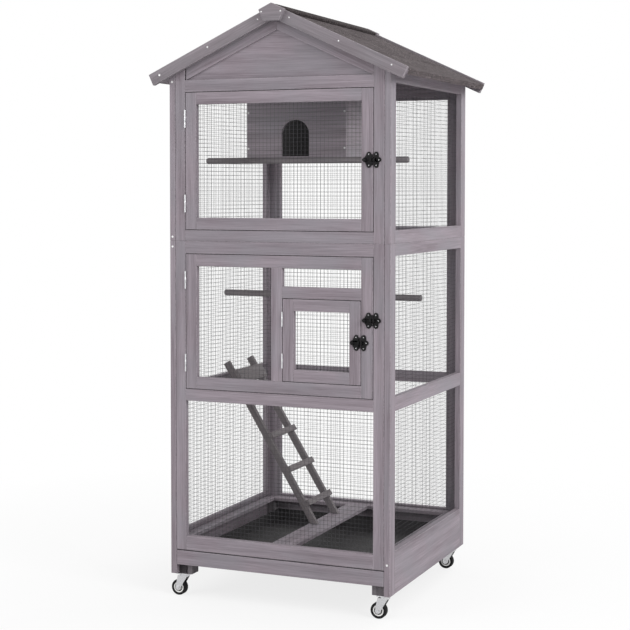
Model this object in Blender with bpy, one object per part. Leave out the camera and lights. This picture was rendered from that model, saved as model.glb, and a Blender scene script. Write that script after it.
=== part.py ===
"""Wooden bird cage on casters: two framed storeys with wire net under a felted gable roof.

The cage stands with its floor point at the origin, in metres. X runs to the right as
seen from the front, -Y is the front and +Z is up. It has an upper door, a lower door
with a small door inside it, three sliding bolts, a drawer and four swivel casters.
"""
import math

import bmesh
import bpy
from mathutils import Matrix, Vector

# Clearances
SEAM = 0.0003             # between pieces that touch
DOOR_GAP = 0.002          # round each door, between door and frame
DRAWER_GAP = 0.001        # round the drawer front
SLIDE_GAP = 0.0007        # round a bolt in its staple
TRAY_GAP = 0.002          # beside and behind the tray

# Body
BODY_W = 0.736
BODY_D = 0.740
SIDE_T = 0.019            # thickness of the side panels and corner strips
FRAME_T = 0.019           # thickness of the front and back frames and of the doors
EDGE_CHAMFER = 0.0012     # eased edges of the planed wood
CREASE = math.radians(35)  # sharper edges than this are not shaded smooth

# Heights, stacked from the floor up
CASTER_H = 0.072          # floor to the underside of the legs
LEG_DROP = 0.005          # legs below the side panels
DRAWER_LIFT = 0.030       # drawer front above the bottom of the side panels
DRAWER_H = 0.048
SILL_RAIL_H = 0.045       # front rail above the drawer
LOW_BAY_H = 0.429         # netted bay below the lower door
MID_RAIL_H = 0.037
LOWER_BAY_H = 0.426       # bay of the lower door
HEAD_RAIL_H = 0.039
UPPER_SILL_H = 0.034
UPPER_BAY_H = 0.430       # bay of the upper door
TOP_RAIL_H = 0.037
ROOF_SEAT = 0.021         # top of the side panels above the top rail

# Widths in the front and back frames
POST_W = 0.035
BACK_POST_W = 0.039

# Side panels
SIDE_BOARD_H = 0.131
SIDE_MID_RAIL_H = 0.043
SIDE_HEAD_RAIL_H = 0.037
SIDE_SILL_H = 0.039
SIDE_TOP_RAIL_H = 0.042
SIDE_FRONT_STILE = 0.044
SIDE_REAR_STILE = 0.060
CORNER_STRIP_W = 0.036

# Roof
ROOF_PITCH = math.radians(24.9)
EAVE_OVERHANG = 0.060     # beyond the side panels, to the upper corner of the barge board
GABLE_OVERHANG = 0.026    # beyond the front and back, to the face of the barge boards
ROOF_T = 0.016
BARGE_W = 0.037
BARGE_T = 0.015
BARGE_LIP = 0.006         # barge board above the roof board
CAP_T = 0.010
CAP_HALF_W = 0.042
RIDGE_PLATE_T = 0.018
RIDGE_PLATE_W = 0.038
RAFTER_W = 0.043
GABLE_RECESS = 0.008
GABLE_BOARD_T = 0.009

# Doors
DOOR_STILE = 0.037
DOOR_RAIL = 0.037
SMALL_BAY_W = 0.258
SMALL_BAY_H = 0.256
SMALL_STILE = 0.036
MULLION_W = 0.037         # upright between the net and the small door
TRANSOM_H = 0.035         # crosspiece above the small door

# Net
WIRE = 0.002
NET_LAP = 0.012           # net over the edge of its frame
WALL_NET_PITCH = 0.104
DOOR_NET_PITCH = 0.051

# Hinges
HINGE_R = 0.0025
HINGE_PIN_R = 0.00125
HINGE_BORE_R = 0.0016
HINGE_H = 0.055
HINGE_LEAF_D = 0.016
HINGE_LEAF_T = 0.0006
HINGE_INSET = 0.081       # door edge to the middle of the hinge nearest to it
SMALL_HINGE_H = 0.045
SMALL_HINGE_INSET = 0.062

# Latches
LATCH_PLATE_T = 0.002
LATCH_H = 0.048
LATCH_PLATE_W = 0.032
KEEPER_W = 0.024
LATCH_LOBE_R = 0.0075
LATCH_EDGE = 0.0005       # plate to the edge of the door or post
BOLT_SIDE = 0.006
BOLT_TRAVEL = 0.009
BOLT_TAIL = 0.004         # bolt beyond its far staple
STAPLE_W = 0.006
STAPLE_WALL = 0.002
KNOB_R = 0.0025
KNOB_H = 0.009
UPPER_LATCH_UP = 0.215    # latch above the bottom of its bay
LOWER_LATCH_UP = 0.2365
SMALL_LATCH_UP = 0.1295    # above the bottom of the small door's bay

# Perches
PERCH_R = 0.010
PERCH_CHAMFER = 0.0015
UPPER_PERCH_Y = 0.220     # behind the front face
UPPER_PERCH_SHARE = 0.5   # height in the side net that it hangs on, as a share of the net's
UPPER_PERCH_DROP = 0.0065  # middle below the net wire that carries its ends
LOWER_PERCH_SHARE = 0.5   # depth in the side net that it hangs on, as a share of the net's
LOWER_PERCH_BEHIND = 0.00615  # middle behind the net wire that carries its ends
LOWER_PERCH_DOWN = 0.184  # below the joint between the storeys

# Nest box in the rear left corner
NEST_W = 0.370
NEST_D = 0.201
NEST_H = 0.219
NEST_T = 0.012
NEST_BACK_T = 0.0012      # thin panel that closes the box in front of the back net
ARCH_W = 0.102
ARCH_H = 0.124
ARCH_X = 0.184            # middle of the arch from the side panel

# Ladder
LADDER_ANGLE = math.radians(58.4)
LADDER_FOOT_X = 0.331     # middle of the foot from the side panel
LADDER_FRONT_Y = 0.343    # front rail from the front face
LADDER_W = 0.180          # between the middles of the rails
LADDER_RAIL_W = 0.022
LADDER_RAIL_T = 0.015
RUNG_W = 0.020
RUNG_T = 0.012
RUNG_FIRST = 0.0705       # along the ladder from its foot
RUNG_STEP = 0.1255
RUNG_COUNT = 4
LADDER_BOARD_W = 0.055
LADDER_BOARD_AT = 0.572

# Floor frame, legs and drawer
FLOOR_DROP = 0.007        # floor frame below the top of the sill rail
FLOOR_T = 0.012
FLOOR_SIDE_LEDGE = 0.032
FLOOR_BACK_LEDGE = 0.040
FLOOR_FRONT_LEDGE = 0.030
FLOOR_BEAM_W = 0.078
LEG_W = 0.0315
LEG_D = 0.0295
CASTER_BLOCK = 0.045      # square block at the foot of each leg
RUNNER_T = 0.012
RUNNER_REACH = 0.020      # runner under the tray
DRAWER_FRONT_T = 0.016
TRAY_LIFT = 0.003         # tray above the bottom edge of the drawer front
TRAY_H = 0.037
TRAY_T = 0.003

# Casters
WHEEL_R = 0.025
WHEEL_W = 0.020
WHEEL_SIDES = 24
WHEEL_SHOULDER = 0.004
RIM_R = 0.017
RIM_DISH = 0.004
HUB_R = 0.008
AXLE_R = 0.0025
AXLE_BORE_R = 0.003
NUT_R = 0.005
NUT_T = 0.003
FORK_T = 0.002
FORK_GAP = 0.0015         # fork beside the wheel
FORK_EYE_R = 0.009
FORK_CROWN_FRONT = 0.013
FORK_CROWN_BACK = 0.020
RACE_R = 0.016
RACE_H = 0.005
CASTER_TRAIL = 0.019
CASTER_PLATE = 0.042
CASTER_PLATE_T = 0.002
STEM_X = 0.029            # stem from the side face
STEM_Y = 0.040            # stem from the front or back face

# Levels and planes that follow from the sizes
SIDE_BOTTOM = CASTER_H + LEG_DROP
DRAWER_BOTTOM = SIDE_BOTTOM + DRAWER_LIFT
SILL_BOTTOM = DRAWER_BOTTOM + DRAWER_H + DRAWER_GAP
SILL_TOP = SILL_BOTTOM + SILL_RAIL_H
MID_BOTTOM = SILL_TOP + LOW_BAY_H
MID_TOP = MID_BOTTOM + MID_RAIL_H
HEAD_BOTTOM = MID_TOP + LOWER_BAY_H
JOINT_Z = HEAD_BOTTOM + HEAD_RAIL_H
UPPER_SILL = JOINT_Z + UPPER_SILL_H
UPPER_HEAD = UPPER_SILL + UPPER_BAY_H
GABLE_BASE = UPPER_HEAD + TOP_RAIL_H
SIDE_TOP = GABLE_BASE + ROOF_SEAT
FLOOR_TOP = SILL_TOP - FLOOR_DROP
HALF_W = BODY_W / 2
FRONT = -BODY_D / 2
BACK = BODY_D / 2
INNER_X = HALF_W - SIDE_T             # inner face of the side panels
INNER_FRONT = FRONT + FRAME_T
INNER_BACK = BACK - FRAME_T
NET_X = INNER_X - SEAM - WIRE         # inner face of the side nets
NET_BACK = INNER_BACK - SEAM - WIRE   # inner face of the back nets
EAVE_X = HALF_W + EAVE_OVERHANG
BAY_LEFT = -INNER_X + POST_W          # edges of the door bays
BAY_RIGHT = INNER_X - POST_W

# Materials: colour, roughness, metallic
WOOD = ("stained_wood", (0.30, 0.26, 0.28), 0.75, 0.0)
DARK_WOOD = ("ladder_wood", (0.22, 0.19, 0.20), 0.8, 0.0)
FELT = ("roof_felt", (0.11, 0.105, 0.11), 0.95, 0.0)
WIRE_METAL = ("net_wire", (0.45, 0.45, 0.46), 0.4, 1.0)
ZINC = ("hinge_zinc", (0.62, 0.62, 0.63), 0.35, 1.0)
BLACK_METAL = ("latch_black", (0.012, 0.012, 0.013), 0.45, 0.6)
CHROME = ("caster_chrome", (0.75, 0.75, 0.76), 0.15, 1.0)
RUBBER = ("caster_rubber", (0.03, 0.03, 0.03), 0.8, 0.0)
TRAY_METAL = ("tray_black", (0.035, 0.035, 0.037), 0.6, 0.0)


def clear_scene():
    """Remove whatever the file opened with."""
    for item in list(bpy.data.objects):
        bpy.data.objects.remove(item, do_unlink=True)


def material(spec):
    """Return the material with the given name, colour, roughness and metallic value."""
    name, colour, roughness, metallic = spec
    made = bpy.data.materials.get(name)
    if made is None:
        made = bpy.data.materials.new(name)
        made.use_nodes = True
        shader = made.node_tree.nodes["Principled BSDF"]
        shader.inputs["Base Color"].default_value = (*colour, 1.0)
        shader.inputs["Roughness"].default_value = roughness
        shader.inputs["Metallic"].default_value = metallic
    return made


def lift(axis, a, b, along):
    """Place a 2-D point on the plane that lies square to an axis."""
    return {"X": (along, a, b), "Y": (a, along, b), "Z": (a, b, along)}[axis]


def plate(axis, low, high, outline, holes=()):
    """Extrude a flat outline with holes from low to high along an axis."""
    solid = bmesh.new()
    edges = []
    for loop in (outline, *holes):
        verts = [solid.verts.new(lift(axis, a, b, low)) for a, b in loop]
        edges += [solid.edges.new((verts[i - 1], verts[i])) for i in range(len(verts))]
    bmesh.ops.triangle_fill(solid, edges=edges, use_beauty=True)
    grown = bmesh.ops.extrude_face_region(solid, geom=list(solid.faces))["geom"]
    moved = [item for item in grown if isinstance(item, bmesh.types.BMVert)]
    bmesh.ops.translate(solid, verts=moved, vec=lift(axis, 0, 0, high - low))
    bmesh.ops.recalc_face_normals(solid, faces=list(solid.faces))
    return solid


def rectangle(a_low, a_high, b_low, b_high):
    """Return the corners of a rectangle."""
    return [(a_low, b_low), (a_high, b_low), (a_high, b_high), (a_low, b_high)]


def box(x_low, x_high, y_low, y_high, z_low, z_high):
    """Return a solid box."""
    return plate("Z", z_low, z_high, rectangle(x_low, x_high, y_low, y_high))


def arc(centre, radius, start, end, steps):
    """Return points along an arc, with both ends."""
    turns = [start + (end - start) * i / steps for i in range(steps + 1)]
    return [(centre[0] + radius * math.cos(t), centre[1] + radius * math.sin(t)) for t in turns]


def circle(centre, radius, sides):
    """Return the corners of a regular polygon."""
    return arc(centre, radius, 0, 2 * math.pi, sides)[:-1]


def rod(axis, low, high, centre, radius, sides):
    """Return a solid round bar."""
    return plate(axis, low, high, circle(centre, radius, sides))


def revolve(profile, centre, sides, start):
    """Turn a closed profile of (radius, along) points about the Y axis through centre."""
    solid = bmesh.new()
    rings = []
    for i in range(sides):
        turn = start + 2 * math.pi * i / sides
        rings.append([solid.verts.new((centre[0] + r * math.cos(turn), centre[1] + y,
                                       centre[2] + r * math.sin(turn))) for r, y in profile])
    for i in range(sides):
        here, there = rings[i - 1], rings[i]
        for j in range(len(profile)):
            solid.faces.new((here[j - 1], here[j], there[j], there[j - 1]))
    bmesh.ops.recalc_face_normals(solid, faces=list(solid.faces))
    return solid


def holder(solid):
    """Put a solid into a passing object, so that a modifier can work on it."""
    mesh = bpy.data.meshes.new("passing")
    solid.to_mesh(mesh)
    solid.free()
    made = bpy.data.objects.new("passing", mesh)
    bpy.context.scene.collection.objects.link(made)
    return made


def combine(base, tool, operation):
    """Return base joined with tool, or cut by it."""
    first, second = holder(base), holder(tool)
    boolean = first.modifiers.new("boolean", "BOOLEAN")
    boolean.operation = operation
    boolean.solver = "EXACT"
    boolean.object = second
    bpy.context.view_layer.update()
    evaluated = first.evaluated_get(bpy.context.evaluated_depsgraph_get())
    result = bmesh.new()
    result.from_mesh(evaluated.to_mesh())
    for item in (first, second):
        bpy.data.objects.remove(item, do_unlink=True)
    return result


def union(base, *tools):
    """Join solids that overlap into one."""
    for tool in tools:
        base = combine(base, tool, "UNION")
    return base


def cut(base, *tools):
    """Cut solids out of a solid."""
    for tool in tools:
        base = combine(base, tool, "DIFFERENCE")
    return base


def eased(axis, solid, width):
    """Chamfer the outer edges of a piece, apart from those that run along an axis."""
    along = Vector(lift(axis, 0, 0, 1))
    edges = []
    for edge in solid.edges:
        run = (edge.verts[1].co - edge.verts[0].co).normalized()
        if edge.is_convex and edge.calc_face_angle() > CREASE and abs(run.dot(along)) < 0.5:
            edges.append(edge)
    bmesh.ops.bevel(solid, geom=edges, offset=width, segments=1, profile=0.5, affect="EDGES")
    return solid


def add_part(name, solid, spec, origin=(0, 0, 0), smooth=False):
    """Make a solid into an object with its origin at the given place."""
    mesh = bpy.data.meshes.new(name)
    solid.transform(Matrix.Translation(-Vector(origin)))
    solid.to_mesh(mesh)
    solid.free()
    mesh.materials.append(material(spec))
    if smooth:
        mesh.shade_smooth()
        mesh.set_sharp_from_angle(angle=CREASE)
    part = bpy.data.objects.new(name, mesh)
    part.location = origin
    bpy.context.scene.collection.objects.link(part)
    return part


def side_span(side, inner, outer):
    """Return the low and high x of a piece on the left (-1) or right (+1)."""
    return sorted((side * inner, side * outer))


def barge_top(x, drop=0.0):
    """Height of a line that lies a square distance below the top of the barge boards."""
    rise = (HALF_W - abs(x)) * math.tan(ROOF_PITCH)
    above = (BARGE_LIP + ROOF_T) / math.cos(ROOF_PITCH)
    return SIDE_TOP + SEAM + rise + above - drop / math.cos(ROOF_PITCH)


def roof_under(x):
    """Height of the underside of the roof boards."""
    return barge_top(x, BARGE_LIP + ROOF_T)


def eave_point(drop):
    """Corner of the square-cut eave at a square distance below the barge board's top."""
    corner_z = barge_top(EAVE_X)
    return (EAVE_X - drop * math.sin(ROOF_PITCH), corner_z - drop * math.cos(ROOF_PITCH))


def mirrored(points):
    """Complete the right half of an outline, from the ridge down, with its left half."""
    return points + [(-x, z) for x, z in reversed(points) if x != 0]


def build_side_panels():
    """Netted side frames of both storeys and the strips that cover the rear corners."""
    y_end = BACK - CORNER_STRIP_W - SEAM
    bay = (FRONT + SIDE_FRONT_STILE, y_end - SIDE_REAR_STILE)
    mid_top = MID_BOTTOM + SIDE_MID_RAIL_H
    for side, word in ((-1, "left"), (1, "right")):
        low, high = side_span(side, INNER_X, HALF_W)
        lower = plate("X", low, high, rectangle(FRONT, y_end, SIDE_BOTTOM, JOINT_Z - SEAM),
                      [rectangle(*bay, SIDE_BOTTOM + SIDE_BOARD_H, MID_BOTTOM),
                       rectangle(*bay, mid_top, JOINT_Z - SIDE_HEAD_RAIL_H)])
        add_part(f"lower_side_{word}", eased("X", lower, EDGE_CHAMFER), WOOD)
        upper = plate("X", low, high, rectangle(FRONT, y_end, JOINT_Z, SIDE_TOP),
                      [rectangle(*bay, JOINT_Z + SIDE_SILL_H, SIDE_TOP - SIDE_TOP_RAIL_H)])
        add_part(f"upper_side_{word}", eased("X", upper, EDGE_CHAMFER), WOOD)
        strip = box(low, high, y_end + SEAM, BACK, SIDE_BOTTOM, SIDE_TOP)
        add_part(f"corner_strip_{word}", eased("X", strip, EDGE_CHAMFER), WOOD)


def storey_frame(name_end, low, high, post, bottom):
    """One face of both storeys, front or back, between planes low and high along Y."""
    edge = INNER_X - SEAM
    inner = INNER_X - post
    lower = plate("Y", low, high, rectangle(-edge, edge, bottom, JOINT_Z - SEAM),
                  [rectangle(-inner, inner, SILL_TOP, MID_BOTTOM),
                   rectangle(-inner, inner, MID_TOP, HEAD_BOTTOM)])
    add_part(f"lower_frame_{name_end}", eased("Y", lower, EDGE_CHAMFER), WOOD)
    outline = mirrored([(inner, GABLE_BASE), (inner, roof_under(inner) - SEAM),
                        (edge, roof_under(edge) - SEAM), (edge, JOINT_Z)])
    upper = plate("Y", low, high, outline, [rectangle(-inner, inner, UPPER_SILL, UPPER_HEAD)])
    add_part(f"upper_frame_{name_end}", eased("Y", upper, EDGE_CHAMFER), WOOD)
    return inner


def build_gable(name, face, inward, post_line):
    """Gable board with two rafters and a sunk field, face outwards."""
    back_plane = face + inward * FRAME_T
    edge = post_line - SEAM
    field_drop = BARGE_LIP + ROOF_T + RAFTER_W
    outline = mirrored([(0, roof_under(0) - SEAM), (edge, roof_under(edge) - SEAM),
                        (edge, GABLE_BASE + SEAM)])
    gable = plate("Y", *sorted((face, back_plane)), outline)
    foot = GABLE_BASE + SEAM
    reach = HALF_W - (foot - barge_top(HALF_W, field_drop)) / math.tan(ROOF_PITCH)
    reach = min(reach, edge)
    field = [(-reach, foot - FRAME_T), (reach, foot - FRAME_T), (reach, barge_top(reach, field_drop)),
             (0, barge_top(0, field_drop)), (-reach, barge_top(reach, field_drop))]
    outer_pocket = sorted((face - inward * FRAME_T, face + inward * GABLE_RECESS))
    depth = GABLE_RECESS + GABLE_BOARD_T
    inner_pocket = sorted((face + inward * depth, back_plane + inward * FRAME_T))
    gable = cut(gable, plate("Y", *outer_pocket, field), plate("Y", *inner_pocket, field))
    add_part(name, gable, WOOD)


def build_frames():
    """Front and back frames of both storeys with their gables."""
    front_line = storey_frame("front", FRONT, INNER_FRONT, POST_W, SILL_BOTTOM)
    build_gable("gable_front", FRONT, 1, front_line)
    back_line = storey_frame("back", INNER_BACK, BACK, BACK_POST_W, SIDE_BOTTOM)
    build_gable("gable_back", BACK, -1, back_line)


def build_roof():
    """Roof boards, ridge cap and the barge boards with their ridge plates."""
    face = BODY_D / 2 + GABLE_OVERHANG
    board_end = face - BARGE_T - SEAM
    slab_drop = BARGE_LIP + ROOF_T
    for side, word in ((-1, "left"), (1, "right")):
        points = [(SEAM / 2, barge_top(0, BARGE_LIP)), eave_point(BARGE_LIP),
                  eave_point(slab_drop), (SEAM / 2, barge_top(0, slab_drop))]
        board = plate("Y", -board_end, board_end, [(side * x, z) for x, z in points])
        add_part(f"roof_board_{word}", board, FELT)
    cap_drop = BARGE_LIP - SEAM
    cap_top = BARGE_LIP - CAP_T
    cap_edge = CAP_HALF_W - (cap_drop - cap_top) * math.sin(ROOF_PITCH)
    cap_half = [(0, barge_top(0, cap_top)), (CAP_HALF_W, barge_top(CAP_HALF_W, cap_top)),
                (cap_edge, barge_top(cap_edge, cap_drop))]
    cap_outline = cap_half + [(0, barge_top(0, cap_drop))] + [(-x, z) for x, z in reversed(cap_half[1:])]
    add_part("ridge_cap", plate("Y", -board_end, board_end, cap_outline), FELT)
    plate_low = CAP_HALF_W - RIDGE_PLATE_W * math.sin(ROOF_PITCH)
    plate_low_z = barge_top(CAP_HALF_W, cap_top) - RIDGE_PLATE_W * math.cos(ROOF_PITCH)
    plate_outline = mirrored([(0, barge_top(0, cap_top)),
                              (CAP_HALF_W, barge_top(CAP_HALF_W, cap_top)),
                              (plate_low, plate_low_z)])
    barge_half = [(0, barge_top(0)), eave_point(0), eave_point(BARGE_W)]
    barge_outline = barge_half + [(0, barge_top(0, BARGE_W))]
    barge_outline += [(-x, z) for x, z in reversed(barge_half[1:])]
    for way, word in ((-1, "front"), (1, "back")):
        chevron = plate("Y", *sorted((way * (face - BARGE_T), way * face)), barge_outline)
        ends = sorted((way * (face - BARGE_T / 2), way * (face + RIDGE_PLATE_T)))
        add_part(f"barge_{word}", union(chevron, plate("Y", *ends, plate_outline)), WOOD)


def net_holes(a_low, a_high, b_low, b_high, pitch):
    """Return the gaps between the wires of a rectangular net."""
    across = max(1, round((a_high - a_low) / pitch))
    upward = max(1, round((b_high - b_low) / pitch))
    step_a = (a_high - a_low - WIRE) / across
    step_b = (b_high - b_low - WIRE) / upward
    holes = []
    for i in range(across):
        for j in range(upward):
            a = a_low + WIRE + i * step_a
            b = b_low + WIRE + j * step_b
            holes.append(rectangle(a, a + step_a - WIRE, b, b + step_b - WIRE))
    return holes


def add_net(name, axis, low, bounds, pitch, origin=(0, 0, 0)):
    """Add a flat rectangular net, one wire thick."""
    solid = plate(axis, low, low + WIRE, rectangle(*bounds), net_holes(*bounds, pitch))
    return add_part(name, solid, WIRE_METAL, origin)


def side_net_span(storey):
    """Return the lowest and highest z of the side nets of a storey."""
    if storey == "lower":
        return FLOOR_TOP + SEAM, JOINT_Z - SIDE_HEAD_RAIL_H + NET_LAP
    return JOINT_Z + SIDE_SILL_H - NET_LAP, SIDE_TOP - SIDE_TOP_RAIL_H + NET_LAP


def side_net_depth():
    """Return the front and back y of the side nets."""
    return (FRONT + SIDE_FRONT_STILE - NET_LAP,
            BACK - CORNER_STRIP_W - SEAM - SIDE_REAR_STILE + NET_LAP)


def net_wire_place(low, high, share):
    """Return the place of the net wire nearest to a share of the way across a wall net."""
    rows = max(1, round((high - low) / WALL_NET_PITCH))
    return low + WIRE / 2 + round(share * rows) * (high - low - WIRE) / rows


def build_wall_nets():
    """Nets on the inner faces of the side, back and lower front frames."""
    y_low, y_high = side_net_depth()
    net_low = FLOOR_TOP + SEAM
    for side, word in ((-1, "left"), (1, "right")):
        low = side_span(side, NET_X, INNER_X - SEAM)[0]
        add_net(f"net_lower_{word}", "X", low,
                (y_low, y_high, *side_net_span("lower")), WALL_NET_PITCH)
        add_net(f"net_upper_{word}", "X", low,
                (y_low, y_high, *side_net_span("upper")), WALL_NET_PITCH)
    back_x = INNER_X - BACK_POST_W + NET_LAP
    add_net("net_lower_back", "Y", NET_BACK, (-back_x, back_x, net_low, HEAD_BOTTOM + NET_LAP),
            WALL_NET_PITCH)
    add_net("net_upper_back", "Y", NET_BACK,
            (-back_x, back_x, UPPER_SILL - NET_LAP, UPPER_HEAD + NET_LAP), WALL_NET_PITCH)
    front_x = INNER_X - POST_W + NET_LAP
    add_net("net_lower_front", "Y", INNER_FRONT + SEAM,
            (-front_x, front_x, net_low, MID_BOTTOM + NET_LAP), WALL_NET_PITCH)


def hinge_axis(bay_left):
    """Return x and y of a door's hinge axis, just in front of the gap at its left edge."""
    return bay_left + DOOR_GAP / 2, FRONT - HINGE_R - SEAM


def hinge_levels(z_low, z_high, inset):
    """Return the middle heights of a door's lower and upper hinge."""
    return z_low + inset, z_high - inset


def build_hinge(name, axis_x, axis_y, z_mid, height):
    """Fixed half of a hinge: a leaf on the post, two knuckles and the pin."""
    low, high = z_mid - height / 2, z_mid + height / 2
    third = height / 3
    leaf_low = axis_x - DOOR_GAP / 2 + SEAM
    leaf = box(leaf_low, leaf_low + HINGE_LEAF_T, FRONT + SEAM, FRONT + HINGE_LEAF_D, low, high)
    parts = []
    for ear_low, ear_high in ((low, low + third), (high - third, high)):
        parts.append(box(leaf_low, leaf_low + HINGE_LEAF_T, axis_y, FRONT + 2 * SEAM,
                         ear_low, ear_high))
        parts.append(rod("Z", ear_low, ear_high, (axis_x, axis_y), HINGE_R, 12))
    pin = rod("Z", low + third / 2, high - third / 2, (axis_x, axis_y), HINGE_PIN_R, 8)
    solid = union(leaf, *parts, pin)
    return add_part(name, solid, ZINC, (axis_x, axis_y, z_mid), smooth=True)


def door_knuckle(axis_x, axis_y, z_mid, height):
    """Moving knuckle of a hinge with the tab that ties it to the door's edge."""
    half = height / 6 - SEAM
    barrel = plate("Z", z_mid - half, z_mid + half, circle((axis_x, axis_y), HINGE_R, 12),
                   [circle((axis_x, axis_y), HINGE_BORE_R, 8)])
    tab = box(axis_x + HINGE_BORE_R, axis_x + HINGE_R - SEAM, axis_y, FRONT + FRAME_T / 4,
              z_mid - half + SEAM, z_mid + half - SEAM)
    return union(barrel, tab)


def lobed_outline(edge, width, z_mid, way):
    """Outline of a latch plate: straight at the gap, with a lobe on each other side."""
    body = width - LATCH_LOBE_R
    top = LATCH_H / 2 - LATCH_LOBE_R
    lobe_x = body / 2
    steps = 6
    quarter = math.pi / 2
    points = [(0, -top), (lobe_x - LATCH_LOBE_R, -top)]
    points += arc((lobe_x, -top), LATCH_LOBE_R, -2 * quarter, 0, steps)[1:-1]
    points += [(lobe_x + LATCH_LOBE_R, -top), (body, -top + LATCH_LOBE_R)]
    points += arc((body, 0), LATCH_LOBE_R, -quarter, quarter, steps)
    points += [(body, top - LATCH_LOBE_R), (lobe_x + LATCH_LOBE_R, top)]
    points += arc((lobe_x, top), LATCH_LOBE_R, 0, 2 * quarter, steps)[1:-1]
    points += [(lobe_x - LATCH_LOBE_R, top), (0, top)]
    return [(edge + way * x, z_mid + z) for x, z in points]


def staple(x_low, x_high, z_mid):
    """Bridge over the bolt, an arched strip that stands on its plate."""
    half = BOLT_SIDE / 2 + SLIDE_GAP
    wall = half + STAPLE_WALL
    root = FRONT - SEAM - LATCH_PLATE_T / 2
    floor = FRONT - SEAM - LATCH_PLATE_T
    roof = floor - BOLT_SIDE - 2 * SLIDE_GAP
    crown = roof - STAPLE_WALL
    outline = [(root, z_mid - wall), (crown + STAPLE_WALL, z_mid - wall), (crown, z_mid - half),
               (crown, z_mid + half), (crown + STAPLE_WALL, z_mid + wall), (root, z_mid + wall),
               (root, z_mid + half), (roof, z_mid + half), (roof, z_mid - half),
               (root, z_mid - half)]
    return plate("X", x_low, x_high, outline)


def build_latch(word, gap_x, z_mid, hinge):
    """Door plate, sliding bolt and keeper on both sides of the gap at a door's free edge."""
    reach = DOOR_GAP / 2 + LATCH_EDGE
    door_edge, keeper_edge = gap_x - reach, gap_x + reach
    back, front = FRONT - SEAM, FRONT - SEAM - LATCH_PLATE_T
    near = door_edge - STAPLE_W
    slot = BOLT_TRAVEL + 2 * KNOB_R + 2 * SLIDE_GAP
    far = near - slot
    base = plate("Y", front, back, lobed_outline(door_edge, LATCH_PLATE_W, z_mid, -1))
    base = union(base, staple(near, door_edge - SEAM, z_mid), staple(far - STAPLE_W, far, z_mid))
    add_part(f"{word}_latch_plate", base, BLACK_METAL, hinge)
    keeper = plate("Y", front, back, lobed_outline(keeper_edge, KEEPER_W, z_mid, 1))
    keeper = union(keeper, staple(keeper_edge + SEAM, keeper_edge + STAPLE_W + SEAM, z_mid))
    add_part(f"{word}_latch_keeper", keeper, BLACK_METAL)
    bolt_back = front - SLIDE_GAP
    bolt_front = bolt_back - BOLT_SIDE
    half = BOLT_SIDE / 2
    bar = box(far - STAPLE_W - BOLT_TAIL, door_edge, bolt_front, bolt_back,
              z_mid - half, z_mid + half)
    knob_x = far + SLIDE_GAP + KNOB_R
    bolt = union(bar, rod("Y", bolt_front - KNOB_H, bolt_front + half, (knob_x, z_mid), KNOB_R, 16))
    add_part(f"{word}_bolt", bolt, BLACK_METAL, (knob_x, bolt_front, z_mid), smooth=True)


def build_door(word, left, right, low, high, stile, rail, hinges, holes=None):
    """Netted door frame, hung at its left edge by hinges of (height, inset); returns its hinge point."""
    x_low, x_high = left + DOOR_GAP, right - DOOR_GAP
    z_low, z_high = low + DOOR_GAP, high - DOOR_GAP
    axis_x, axis_y = hinge_axis(left)
    hinge = (axis_x, axis_y, z_low)
    if holes is None:
        holes = [(x_low + stile, x_high - stile, z_low + rail, z_high - rail)]
    frame = plate("Y", FRONT, INNER_FRONT, rectangle(x_low, x_high, z_low, z_high),
                  [rectangle(*hole) for hole in holes])
    hinge_h, inset = hinges
    for level, z_mid in zip(("low", "high"), hinge_levels(z_low, z_high, inset)):
        build_hinge(f"{word}_hinge_{level}", axis_x, axis_y, z_mid, hinge_h)
        frame = union(frame, door_knuckle(axis_x, axis_y, z_mid, hinge_h))
    add_part(f"{word}_door", frame, WOOD, hinge)
    return hinge


def build_upper_door():
    """Upper door with its net and latch."""
    hinge = build_door("upper", BAY_LEFT, BAY_RIGHT, UPPER_SILL, UPPER_HEAD, DOOR_STILE, DOOR_RAIL,
                       (HINGE_H, HINGE_INSET))
    lap = DOOR_GAP + DOOR_STILE - NET_LAP
    rise = DOOR_GAP + DOOR_RAIL - NET_LAP
    bounds = (BAY_LEFT + lap, BAY_RIGHT - lap, UPPER_SILL + rise, UPPER_HEAD - rise)
    add_net("upper_door_net", "Y", INNER_FRONT + SEAM, bounds, DOOR_NET_PITCH, hinge)
    build_latch("upper", BAY_RIGHT - DOOR_GAP / 2, UPPER_SILL + UPPER_LATCH_UP, hinge)


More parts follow.
